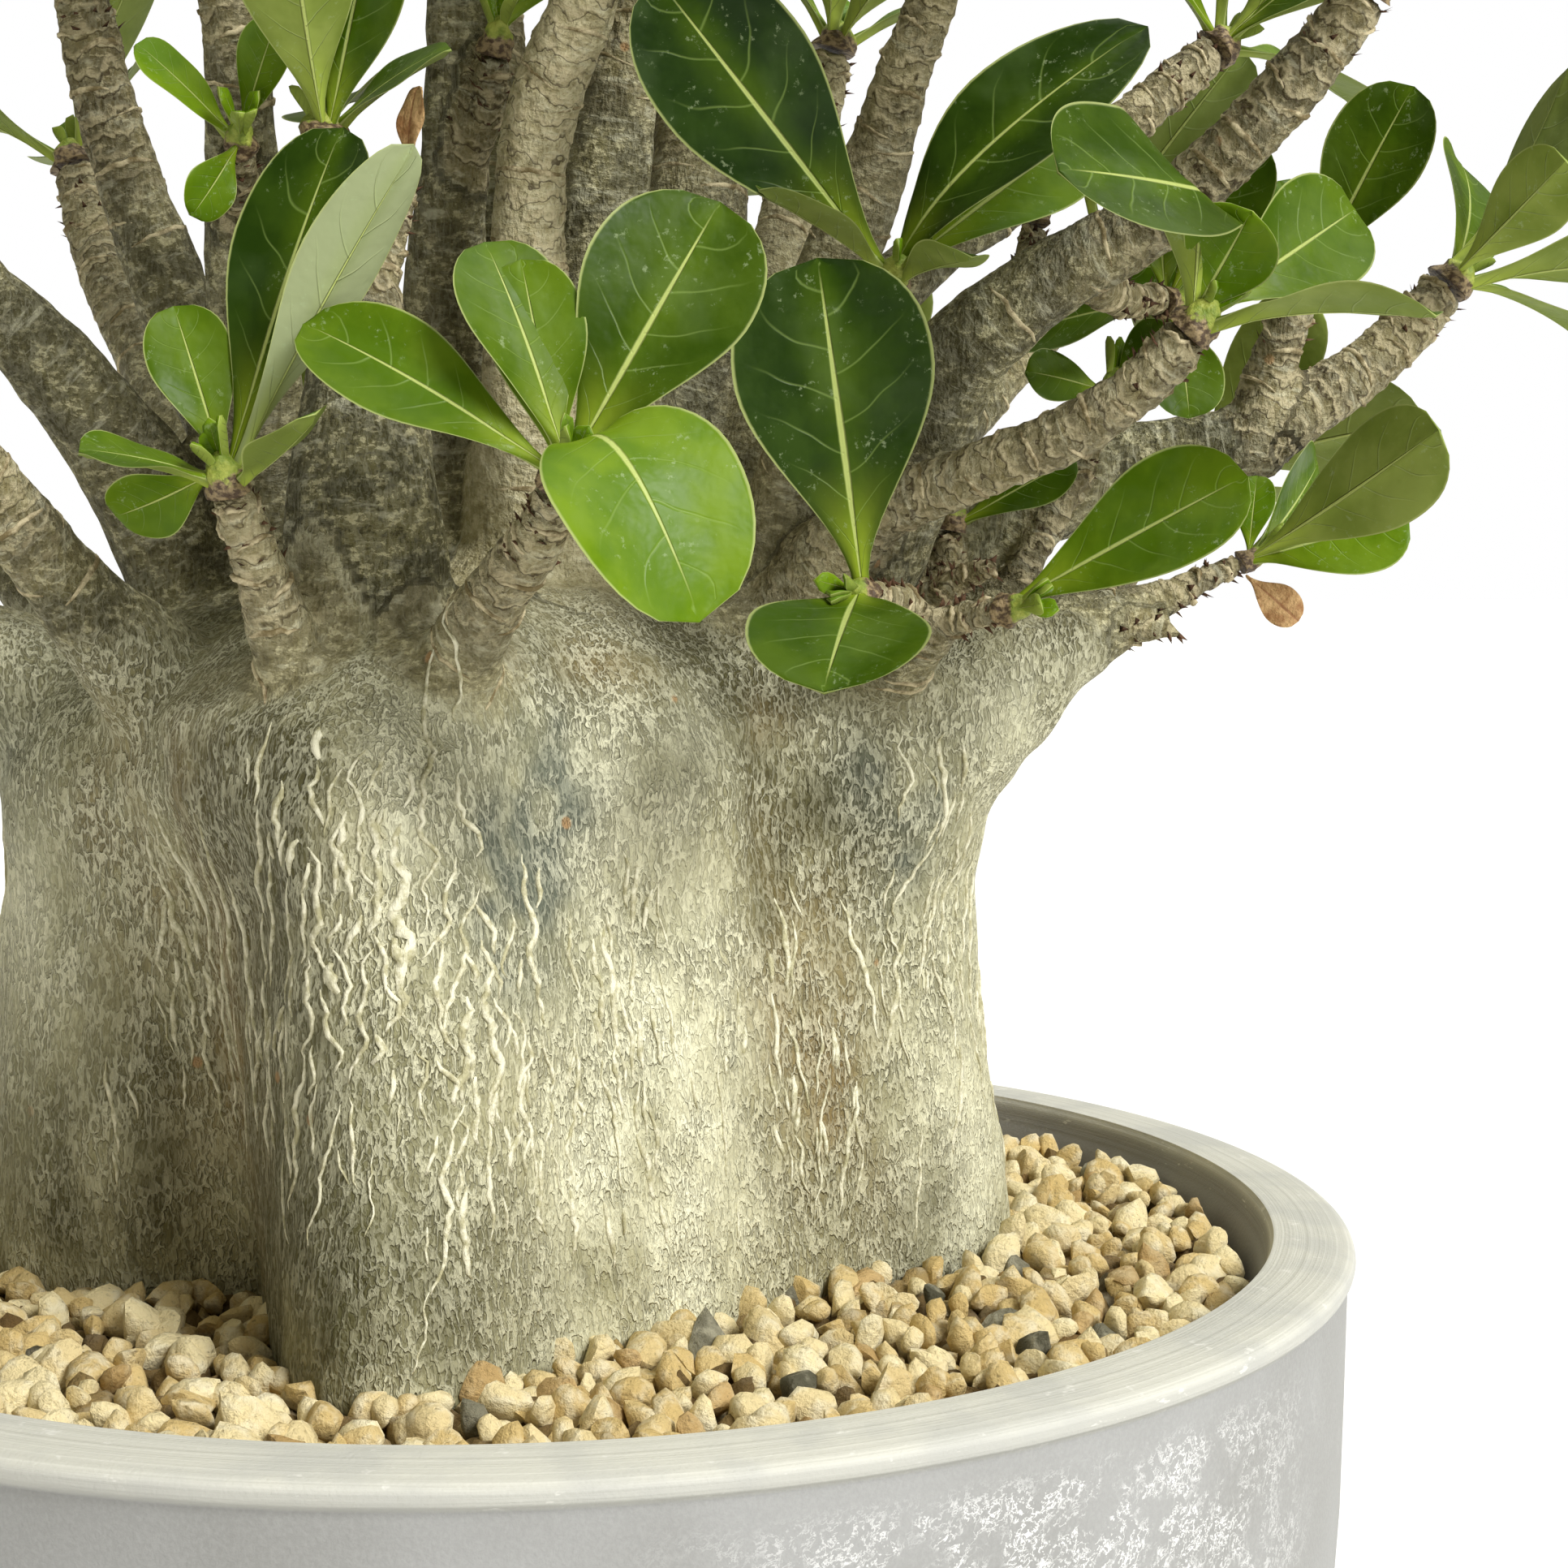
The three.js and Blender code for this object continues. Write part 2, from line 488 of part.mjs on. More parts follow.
// An obovate blade, folded a little along its midrib. Its midline is an arc, and lean says how
// far along the arc its highest point is.
function leaf(base, { chord, out }, width, bend, lean, thickness, grow = 0, fold = null) {
  const plain = bend < SHARP_BEND && width < BROAD ? PLAIN_BLADE : BLADE;
  const blade = fold ? FOLDED_STEPS.map((t) => [t, between(BLADE, t)]) : plain;
  const length = chord.length();
  const across = new THREE.Vector3().crossVectors(chord, out).normalize();
  const height = length * Math.tan(rad(bend) / 4);
  const crest = base.clone().addScaledVector(chord, lean).addScaledVector(out, height);
  const midline = new THREE.QuadraticBezierCurve3(base, crest, base.clone().add(chord));
  const points = [];
  const faces = [];
  blade.forEach(([t, share], k) => {
    const up = new THREE.Vector3().crossVectors(across, midline.getTangent(t)).normalize();
    const half = (share * width) / 2 + grow;
    const deep = thickness * (k === 0 ? STALK_DEPTH : BLADE_DEPTH);
    const raised = FOLD * half;
    for (const [side, lift] of [[-half, raised], [0, -deep], [half, raised], [0, deep]]) {
      points.push(midline.getPoint(t).addScaledVector(across, side).addScaledVector(up, lift));
    }
    const here = k * 4;
    if (k === 0) faces.push(here, here + 3, here + 1, here + 1, here + 3, here + 2);
    else {
      for (const [i, j] of [[0, 1], [1, 2], [2, 3], [3, 0]]) {
        faces.push(here - 4 + i, here - 4 + j, here + j, here - 4 + i, here + j, here + i);
      }
    }
  });
  const last = blade.length * 4 - 4;
  points.push(midline.getPoint(1).addScaledVector(midline.getTangent(1), grow));
  for (const [i, j] of [[0, 1], [1, 2], [2, 3], [3, 0]]) faces.push(last + i, last + j, last + 4);
  const shown = fold ? points.map((point) => turnedOver(point, base, { chord, out }, fold)) : points;
  const solid = solidOf(closedGeometry(shown, faces));
  return solid.volume() < 0 ? solidOf(closedGeometry(shown, faces.reverse())) : solid;
}

// The end of a branch: where its bud stands and which way it points
function tipOf(points) {
  const run = samples(points, 12);
  const end = run[run.length - 1];
  return { at: end.at.clone().addScaledVector(end.along, GAP), along: end.along, r: end.r };
}

function bud({ at, along, r }) {
  const profile = [[0, 0], [r * 0.9, 0], [r * 0.8, BUD_LENGTH * 0.6], [0, BUD_LENGTH]];
  const turn = new THREE.Quaternion().setFromUnitVectors(new THREE.Vector3(0, 0, 1), along);
  return solidOf(turned(profile, BUD_SIDES).applyQuaternion(turn).translate(at.x, at.y, at.z));
}

// Where a leaf grows out of its bud: on the side it leans to, each one higher than the last
const ROOT_HEIGHTS = [0.2, 0.6];
const ROOT_ASIDE = 0.35;

function leafRoot({ at, along, r }, offset, share) {
  const aside = offset.clone().addScaledVector(along, -offset.dot(along)).normalize();
  const height = BUD_LENGTH * within(ROOT_HEIGHTS, share);
  return at.clone().addScaledVector(along, height).addScaledVector(aside, r * ROOT_ASIDE);
}

// More leaves on a spiral round the bud: the turn from one to the next in degrees, and the least
// and the most of their spread and bend in degrees, length, and width as a share of length
const SPIRAL_TURN = 137.5;
const SPREADS = [34, 68];
const LENGTHS = [30, 44];
const WIDTHS = [0.42, 0.52];
const BENDS = [10, 36];

function spiralLeaves({ along }, count, seed) {
  const random = randomFrom(seed);
  const side = new THREE.Vector3(0, 0, 1).cross(along);
  if (side.lengthSq() < 1e-4) side.set(1, 0, 0);
  side.normalize();
  const start = random() * 360;
  return Array.from({ length: count }, (_, i) => {
    const spread = rad(within(SPREADS, (i + random()) / count));
    const aside = side.clone().applyAxisAngle(along, rad(start + i * SPIRAL_TURN));
    const way = along.clone().multiplyScalar(Math.cos(spread)).addScaledVector(aside, Math.sin(spread));
    const length = within(LENGTHS, random());
    const width = length * within(WIDTHS, random());
    const bend = within(BENDS, random());
    return [...way.multiplyScalar(length).toArray(), ...along.toArray(), width, bend];
  });
}

// Gravel: one layer with a faceted hump for each grain. The points lie on a grid of equal
// triangles in which every third point is a grain's top, and then each is shifted a little.
const GRAIN_TOPS = [0.9, 2.8];
const GRAIN_GAPS = [-1.9, -0.6];
const GRAIN_SHIFT = 0.6;
const GRAVEL_BOTTOM = SOIL_LEVEL - GRAVEL_DEPTH;
const GRAVEL_REACH = fillRadius(GRAVEL_BOTTOM);

function gravel() {
  const random = randomFrom(GRAIN_SEED);
  const step = GRAIN_SPACING / Math.sqrt(3);
  const row = (step * Math.sqrt(3)) / 2;
  const count = Math.ceil((GRAVEL_REACH + 2 * step) / row);
  const width = 2 * count + 1;
  const tops = [];
  const feet = [];
  for (let j = -count; j <= count; j++) {
    for (let i = -count; i <= count; i++) {
      const x = (i + (Math.abs(j) % 2) / 2) * step;
      const y = j * row;
      const grain = THREE.MathUtils.euclideanModulo(i - Math.floor(j / 2) - j, 3) === 0;
      const height = within(grain ? GRAIN_TOPS : GRAIN_GAPS, random());
      const mound = MOUND * (1 - Math.hypot(x, y) / GRAVEL_REACH);
      const shift = () => (random() - 0.5) * step * GRAIN_SHIFT;
      tops.push(new THREE.Vector3(x + shift(), y + shift(), SOIL_LEVEL + mound + height));
      feet.push(new THREE.Vector3(x, y, GRAVEL_BOTTOM));
    }
  }
  const faces = [];
  const under = tops.length;
  const at = (i, j) => (j + count) * width + i + count;
  const fan = (a, b, c) => faces.push(a, b, c, under + a, under + c, under + b);
  for (let j = -count; j < count; j++) {
    for (let i = -count; i < count; i++) {
      if (Math.abs(j) % 2 === 0) {
        fan(at(i, j), at(i + 1, j), at(i, j + 1));
        fan(at(i + 1, j), at(i + 1, j + 1), at(i, j + 1));
      } else {
        fan(at(i, j), at(i + 1, j), at(i + 1, j + 1));
        fan(at(i, j), at(i + 1, j + 1), at(i, j + 1));
      }
    }
  }
  const wall = (a, b) => faces.push(a, b, under + b, a, under + b, under + a);
  for (let i = -count; i < count; i++) {
    wall(at(i + 1, -count), at(i, -count));
    wall(at(i, count), at(i + 1, count));
    wall(at(-count, i), at(-count, i + 1));
    wall(at(count, i + 1), at(count, i));
  }
  const above = POT_HEIGHT + MOUND;
  const edge = [[0, GRAVEL_BOTTOM], [GRAVEL_REACH, GRAVEL_BOTTOM], [GRAVEL_REACH, above], [0, above]];
  const disc = solidOf(turned(edge, ROUND_SIDES));
  const layer = solidOf(closedGeometry([...tops, ...feet], faces));
  return layer.intersect(disc).subtract(caudex(ROOT_CLEARANCE));
}

// Root mix: fills the pot from its floor to the gravel
function rootMix() {
  const top = GRAVEL_BOTTOM - GAP;
  const floor = POT_FLOOR + GAP;
  const bend = INNER_WALL[1][0] + GAP;
  const outline = [[0, floor], ...[floor, bend, top].map((z) => [fillRadius(z), z]), [0, top]];
  return solidOf(turned(outline, ROUND_SIDES)).subtract(caudex(ROOT_CLEARANCE));
}

const plant = new THREE.Group();
plant.add(meshOf("pot", pot(), STONEWARE));
plant.add(meshOf("root_mix", rootMix(), ROOT_MIX));
plant.add(meshOf("gravel", gravel(), GRAVEL));

const limbs = Object.fromEntries(BRANCHES.map(([name, ...points]) => [name, points]));
TWIGS.forEach((twig, i) => {
  limbs[`twig${i + 1}`] = twigPoints(twig);
});
const wood = wasm.Manifold.union([caudex(), ...Object.values(limbs).map(tube)]);
plant.add(meshOf("caudex_and_branches", wood, BARK));

const placed = [wood];
for (const [name, base, offset, face, width, bend] of DRY_LEAVES) {
  const dry = leaf(v3(base), settled(offset, face, SETTLE[0]), width, bend, MID_LEAN, LEAF_THICKNESS);
  placed.push(dry);
  plant.add(meshOf(name, dry, DRY_LEAF));
}
const apart = (a, b) => a.intersect(b).volume() < TOUCHING;
const buds = ROSETTES.map(([name]) => bud(tipOf(limbs[name])));
ROSETTES.forEach(([name, chosen, extra], index) => {
  const tip = tipOf(limbs[name]);
  const leaves = [...chosen, ...spiralLeaves(tip, extra, SPIRAL_SEED + index)];
  let rosette = buds[index];
  const others = [...placed, ...buds.filter((_, i) => i !== index)];
  leaves.forEach(([x, y, z, fx, fy, fz, width, bend, lean = MID_LEAN, fold], i) => {
    const root = leafRoot(tip, new THREE.Vector3(x, y, z), i / leaves.length);
    const ways = SETTLE.map((turn) => settled([x, y, z], [fx, fy, fz], turn));
    const way = ways.find((turned) => {
      if (turned.chord.length() < MIN_LEAF) return false;
      const thick = LEAF_THICKNESS + LEAF_CLEARANCE;
      const room = leaf(root, turned, width, bend, lean, thick, LEAF_CLEARANCE / 2, fold);
      return others.every((other) => apart(room, other));
    });
    if (way) rosette = rosette.add(leaf(root, way, width, bend, lean, LEAF_THICKNESS, 0, fold));
  });
  placed.push(rosette);
  plant.add(meshOf(`rosette_${name}`, rosette, LEAF));
});

export default plant;
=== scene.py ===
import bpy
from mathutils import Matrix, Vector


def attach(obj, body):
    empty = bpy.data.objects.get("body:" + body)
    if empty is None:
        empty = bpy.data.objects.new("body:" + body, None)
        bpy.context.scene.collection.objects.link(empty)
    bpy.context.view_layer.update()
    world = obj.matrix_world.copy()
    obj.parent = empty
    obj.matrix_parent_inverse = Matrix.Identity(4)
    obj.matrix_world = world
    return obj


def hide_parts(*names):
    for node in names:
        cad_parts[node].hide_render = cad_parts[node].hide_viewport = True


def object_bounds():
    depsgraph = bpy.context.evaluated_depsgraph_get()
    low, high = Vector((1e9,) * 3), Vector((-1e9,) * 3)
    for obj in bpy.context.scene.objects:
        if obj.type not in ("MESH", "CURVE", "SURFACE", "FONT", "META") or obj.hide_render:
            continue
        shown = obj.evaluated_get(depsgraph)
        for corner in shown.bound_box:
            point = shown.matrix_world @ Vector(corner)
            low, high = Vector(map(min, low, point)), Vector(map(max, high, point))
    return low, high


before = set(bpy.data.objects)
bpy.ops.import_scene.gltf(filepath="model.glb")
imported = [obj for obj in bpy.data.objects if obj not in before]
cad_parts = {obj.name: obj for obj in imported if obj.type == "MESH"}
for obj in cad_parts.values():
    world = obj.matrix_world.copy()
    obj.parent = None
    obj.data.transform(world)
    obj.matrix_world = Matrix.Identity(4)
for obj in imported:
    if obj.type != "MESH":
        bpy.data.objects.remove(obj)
CAD_BOX = [list(corner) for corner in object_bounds()]

import itertools
import math

import bmesh
import bpy
import numpy as np
from mathutils import Matrix, Quaternion, Vector
from mathutils.bvhtree import BVHTree
from mathutils.kdtree import KDTree

# A potted desert rose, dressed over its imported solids. Lengths in the tables are millimetres
# in the part's own frame, and MM turns them into Blender's metres.
MM = 0.001

# Pot and filling
POT_HEIGHT = 95
POT_WALL_RADIUS = 136
POT_LIP_RADIUS = 137.2
RIM_INNER_RADIUS = 124
FOOT_RADIUS = 104
POT_FLOOR = 12
POT_SIDES = 224
POT_EDGE = 50
DRAIN_RADIUS = 6
DRAIN_CIRCLE = 62
DRAIN_COUNT = 5
DRAIN_SIDES = 32
SOIL_LEVEL = 88
MOUND = 4

# The pot's outline from the middle of its underside, over the rim, to the middle of its floor:
# radius, height, and how many points more up to the next row
POT_OUTLINE = [
    [0, 0, 0], [FOOT_RADIUS - 10, 0, 0], [FOOT_RADIUS, 0.3, 2], [117, 6, 3], [128, 17, 3], [134.5, 38, 2],
    [POT_WALL_RADIUS - 0.1, POT_HEIGHT - 12, 1], [POT_WALL_RADIUS, POT_HEIGHT - 5, 1],
    [POT_LIP_RADIUS - 0.35, POT_HEIGHT - 3.9, 1], [POT_LIP_RADIUS, POT_HEIGHT - 3, 1],
    [POT_LIP_RADIUS - 0.35, POT_HEIGHT - 1.8, 1], [POT_LIP_RADIUS - 1.6, POT_HEIGHT - 1, 1],
    [POT_LIP_RADIUS - 4, POT_HEIGHT - 0.55, 1], [RIM_INNER_RADIUS + 1.4, POT_HEIGHT - 0.05, 1],
    [RIM_INNER_RADIUS + 0.3, POT_HEIGHT - 0.5, 1], [RIM_INNER_RADIUS - 0.3, POT_HEIGHT - 1.8, 1],
    [RIM_INNER_RADIUS - 1, POT_HEIGHT - 4.5, 1], [RIM_INNER_RADIUS - 3, POT_HEIGHT - 12, 1],
    [RIM_INNER_RADIUS - 8, 36, 2], [112, 26, 2], [98, POT_FLOOR, 0], [0, POT_FLOOR, 0],
]

# White scuffs on the wall: the middle of the large patch, and how far it reaches
SCUFF_AT = (84, -107, 73)
SCUFF_REACH = 74

# Loose grains: the two layers have their spacing and how far they lie above the bed. The shares
# are those of the grey and brown ones.
STONE_SIZE = 6.3
STONE_LAYERS = [(4.7, -2.8), (4.7 * 1.24, 0.3)]
STONE_KINDS = 12
STONE_FLATS = 7
STONE_EDGE = 54
STONE_SEED = 11
GRAVEL_REACH = RIM_INNER_RADIUS - 3.4
GREY_SHARE = 0.035
BROWN_SHARE = 0.055

# Leaves, as in the part's solids
GAP = 0.35
BUD_LENGTH = 6
FOLD = 0.16
LEAF_THICKNESS = 1.1
MID_LEAN = 0.5
FOLD_RADIUS = 4
MIN_LEAF = 10
TIP_MATCH = 0.3
BOX_MARGIN = 0.05

# Leaves, finer than the solids: where a blade is broadest, its points across and rows along,
# and the same for the tiny leaves in the middle of a rosette
BROADEST = 0.67
ACROSS = [-1, -0.93, -0.76, -0.5, -0.25, -0.09, 0, 0.09, 0.25, 0.5, 0.76, 0.93, 1]
ALONG = 22
FOLDED_ALONG = 60
LEAF_EDGE = 70
TINY_LEAVES = 4
TINY_ACROSS = [-1, -0.6, 0, 0.6, 1]
TINY_ALONG = 6
TINY_BEND = -14
DRY_CURL = 2.2
VEIN_PAIRS = 6.5
BUD_SIDES = 18
BUD_RINGS = 12
ROSETTE_SEED = 900
SPIRAL_SEED = 101
UPPER_SKIN, UNDER_SKIN, BUD_SKIN = range(3)

# Turns in radians: once round, and from one leaf or scar to the next
ONE_TURN = 6.28
SPIRAL_TURN = 2.4

# Bark: its skin's voxels, the heights where it is cut into pieces, the height from which wood
# looks older, the height below which gravel hides it, and how many rings there are to a mm
CAUDEX_FOOT = 60
CAUDEX_TOP = 198
CAUDEX_STEP = 3
LIMB_SIDES = 14
LIMB_STEPS = 7
BARK_VOXEL = 1.2
BARK_CUTS = [182, 232]
CROWN_FROM = 182
CROWN_OVER = 16
BURIED_BELOW = 78
RING_RATE = 0.3
LIMB_FROM = (0.12, 0.42)

# Folds of the bark: how flat they are, their size and their depth
BARK_FOLDS = [[0.6, 16, 0.9], [0.4, 5, 0.5], [0.45, 2.6, 0.34]]

# Raised cracks: their least points and distance, the height where they stop, and where a ray
# towards the trunk starts and what it may find
RIDGE_SEED = 31
RIDGE_LEAST = 5
RIDGE_APART = 1.7
RIDGE_TOP = 178
RIDGE_LOOK = 190
RIDGE_REACH = 100
RIDGE_RADIUS = 70
RIDGE_STEEP = 0.72
FORK_LEAN = 2.0
RIM_SINK = 0.3

# Leaf scars: places tried along a limb, sections of one rim, the first one's distance from the
# tip, and how far stalk remains reach from it
SCAR_SEED = 57
SCAR_STEPS = 60
SCAR_SECTIONS = 10
FIRST_SCAR = 1.2
STALKS_REACH = 13

# The camera that took the photograph: place in mm, pitch in degrees, focal length in pixels
# of a 1932 pixel frame
CAMERA_AT = (45, -475, 210.2)
CAMERA_PITCH = -5.467
FOCAL_PIXELS = 3600
FRAME_PIXELS = 1932
SENSOR = 36

# Colours as linear red, green and blue. A pair runs from where its noise is low to where it is high.
# Patch colours, partly painted light and shade at the caudex's front: cream for the lit side, olive, slate
# and warm brown for shade
PATCH_TONES_AND_PAINTED_LIGHT = {
    "cream": (0.81, 0.79, 0.56), "olive": (0.078, 0.072, 0.024),
    "slate": (0.09, 0.105, 0.08), "warm": (0.23, 0.165, 0.062),
}
BARK_GROUND = (0.295, 0.28, 0.15), (0.445, 0.42, 0.245)
# Darker towards the caudex's top: the crown's own browner bark, and painted shade under the branches and
# leaves
CROWN_BARK_AND_PAINTED_SHADE = (0.10, 0.088, 0.034)
THREAD_PALE = (0.92, 0.90, 0.67)
# Painted shade in the grooves beside the threads, the hollows of the folds and swirls and the low limb bands
GROOVE_PAINTED_SHADE = (0.035, 0.028, 0.01)
OLD_WOOD = (0.05, 0.046, 0.016), (0.155, 0.14, 0.06)
LICHEN = (0.50, 0.46, 0.27)
WOOD_PITS = (0.03, 0.026, 0.009)
TWIG_WOOD = (0.085, 0.066, 0.024), (0.21, 0.175, 0.075)
TWIG_FLECKS = (0.50, 0.43, 0.25)
BUFF_WOOD = (0.38, 0.33, 0.17), (0.60, 0.54, 0.33)
RING_LIP = (0.58, 0.50, 0.31)
RING_CREASE = (0.045, 0.026, 0.01)
KNOT = (0.42, 0.25, 0.11)
CRACK_CORK = (0.50, 0.47, 0.28), (0.90, 0.87, 0.66)
# Painted shade down the sides of the raised cracks
CRACK_SIDE_SHADE = (0.24, 0.21, 0.09)
SCAR_RIM = (0.20, 0.155, 0.07), (0.66, 0.57, 0.36)
SCAR_UNDERSIDE_SHADE = (0.10, 0.06, 0.028)
STALK_BROWN = (0.10, 0.045, 0.022)
UPPER_TONES = {
    "young": ((0.095, 0.185, 0.002), (0.155, 0.255, 0.006)),
    "old": ((0.008, 0.024, 0.001), (0.017, 0.042, 0.0015)),
    "veins": (0.26, 0.37, 0.09), "foot": (0.27, 0.36, 0.02),
}
UNDER_TONES = {
    "young": ((0.20, 0.27, 0.035), (0.27, 0.34, 0.06)),
    "old": ((0.14, 0.18, 0.045), (0.20, 0.245, 0.075)),
    "veins": (0.36, 0.43, 0.18), "foot": (0.36, 0.45, 0.06),
}
UNDER_FADED = (0.31, 0.355, 0.185)
MIDRIB_PALE = (0.46, 0.53, 0.16)
MARGIN_HIGHLIGHT = (0.40, 0.45, 0.16)
LEAF_DUST = (0.36, 0.44, 0.24)
LEAF_SHEEN = (0.16, 0.23, 0.10)
BUD_GREEN = (0.14, 0.21, 0.012), (0.34, 0.38, 0.06)
BUD_BROWN = (0.07, 0.04, 0.018), (0.30, 0.22, 0.11)
DRY_BROWN = (0.30, 0.14, 0.045), (0.62, 0.40, 0.18)
DRY_RIB = (0.24, 0.09, 0.03)
STONE_TONES = {
    "stone_tan": [(0.72, 0.53, 0.22), (0.97, 0.83, 0.48), (0.99, 0.92, 0.68)],
    "stone_brown": [(0.47, 0.31, 0.12), (0.70, 0.49, 0.22), (0.76, 0.62, 0.36)],
    "stone_grey": [(0.085, 0.08, 0.05), (0.24, 0.225, 0.155), (0.55, 0.52, 0.38)],
}
LOWER_GRAIN_SHADE = (0.11, 0.065, 0.022)
ROOT_GRIT = (0.10, 0.065, 0.035), (0.25, 0.18, 0.10)
CLAY = (0.275, 0.275, 0.262), (0.34, 0.342, 0.335)
CLAY_FLECKS = (0.5, 0.5, 0.49)
RIM_CLAY = (0.52, 0.515, 0.45), (0.65, 0.645, 0.575)
RIM_BLOTCH = (0.44, 0.445, 0.42)
RIM_SPECKS = (0.78, 0.77, 0.72)
LIP_SIDE_SHADE = (0.43, 0.43, 0.40)
INNER_CLAY = (0.27, 0.268, 0.255)
SCUFF_WHITE = (0.84, 0.84, 0.83)
FLOOR_WHITE = (0.93, 0.93, 0.93), (0.95, 0.95, 0.95)

# Studio: the room's light and tint, the floor's reach in m, and each lamp's heading and rise in
# degrees, strength and width
ROOM_LIGHT = 0.29
ROOM_TINT = (1.0, 0.935, 0.73, 1)
FLOOR_REACH = 6.0
LAMPS = [["key", -42, 38, 3.65, 24], ["top", 60, 72, 1.35, 60]]

# Caudex: a core by height, and lobes with their angle and half width in degrees and how far
# they stand out at three heights
CORE_AT_SOIL = 58
CORE = [
    [58, 40], [72, 52], [SOIL_LEVEL, CORE_AT_SOIL], [120, 57], [150, 55.5], [168, 56], [178, 53], [187, 47],
    [195, 38], [203, 22],
]
LOBE_HEIGHTS = [SOIL_LEVEL, 150, 180]
LOBES = [
    [-97, 17, 36, 29, 22],
    [-120, 22, 0, 6, 18],
    [-66, 15, 8, -3, -1],
    [-42, 12, 0, -3, -6],
    [2, 25, 25, 21, 26],
    [32, 16, 12, 8, 10],
    [95, 26, 25, 21, 20],
    [148, 18, 18, 20, 20],
    [-172, 24, 28, 26, 26],
    [-134, 10, -10, -2, 2],
]
SWELLS = [
    [-80, 170, 11, 13, -6],
    [-33, 164, 6, 17, -6],
    [-17, 163, 10, 15, 4],
]

# Colour patches of the bark: angle and height of the middle, half width in degrees, half height,
# strength. The front ones lie where the photograph shows them. At the front they are partly painted
# light and shade: cream where the key lamp lights the caudex, and olive, slate and warm brown where
# shade falls on its left side, in its hollow and recess and round the crown. The rest are its own mottling.
PATCHES_AND_PAINTED_LIGHT = {
    "cream": [
        [-62, 124, 17, 36, 1], [-66, 104, 16, 14, 0.5], [-10, 116, 9, 30, 0.5], [3, 140, 5, 40, 0.8],
        [-52, 178, 8, 8, 0.5], [28, 120, 14, 40, 0.7], [78, 116, 18, 34, 0.9], [120, 140, 12, 26, 0.7],
        [162, 120, 18, 32, 0.9], [-168, 150, 14, 18, 0.6], [-94, 177, 5, 13, 1.1], [-64, 170, 9, 13, 1],
        [-14, 96, 9, 18, 0.6], [-9, 176, 6, 14, 0.7],
    ],
    "olive": [
        [-111, 160, 9, 32, 1.4], [-115, 138, 10, 46, 1.6], [-98, 100, 18, 22, 0.7], [-32, 160, 9, 20, 1.4],
        [-126, 130, 9, 50, 1.1], [-68, 192, 22, 10, 1.2], [-36, 190, 30, 9, 1], [-20, 98, 10, 12, 0.5],
        [55, 165, 20, 16, 0.8], [100, 96, 20, 10, 0.6], [140, 170, 16, 16, 0.9], [-150, 110, 12, 24, 0.8],
    ],
    "slate": [
        [-80, 166, 9, 18, 1.5], [-85, 152, 5, 12, 0.8], [-20, 164, 7, 18, 0.9], [68, 140, 7, 20, 0.7],
        [-175, 172, 14, 14, 0.9], [108, 160, 10, 16, 0.8],
    ],
    "warm": [
        [-37, 128, 8, 30, 0.6], [-29, 124, 7, 26, 0.6], [-128, 132, 12, 48, 0.6], [-68, 187, 10, 5, 0.7],
        [-33, 178, 4, 5, 0.6], [50, 130, 5, 30, 0.8], [136, 120, 5, 34, 0.9], [-146, 160, 6, 20, 0.7],
        [88, 184, 12, 6, 0.6],
    ],
}

# Where the raised bark cracks are thick: angle and height of the middle, how far they scatter
# each way, how many, size
RIDGE_ZONES = [
    [-96, 152, 10, 22, 34, 1.15], [-84, 134, 10, 24, 30, 1], [-110, 146, 8, 28, 24, 0.9],
    [-68, 132, 8, 24, 22, 0.8], [-10, 152, 12, 24, 24, 0.7], [-34, 126, 7, 28, 24, 0.7],
    [35, 140, 20, 26, 50, 0.9], [85, 145, 20, 24, 60, 1], [130, 140, 18, 26, 50, 0.9],
    [175, 145, 20, 24, 60, 1], [-135, 140, 10, 28, 34, 0.8], [0, 125, 180, 30, 130, 0.55],
]

# Limbs: how pale the bark is, and how far from the tip the leaf scars reach in mm
LIMB_LOOKS = {
    "a1": (0.1, 22), "a2": (0.55, 34), "a3": (0.55, 42), "a4": (1, 95), "a5": (0.3, 20), "a6": (0.3, 30),
    "a8": (0.2, 62), "a9": (0.5, 90), "a10": (0.3, 50), "a10_up": (0.5, 50), "a11_up": (0.4, 40),
    "a11": (0.1, 1), "a11_out": (0.3, 45), "a12": (0.3, 22), "a13": (0.4, 34), "a13_right": (0.4, 34),
    "a14": (0.5, 40), "b3": (0.4, 40), "b4": (0.4, 45), "b9": (0.8, 40),
}
PLAIN_LIMB = (0.25, 42)

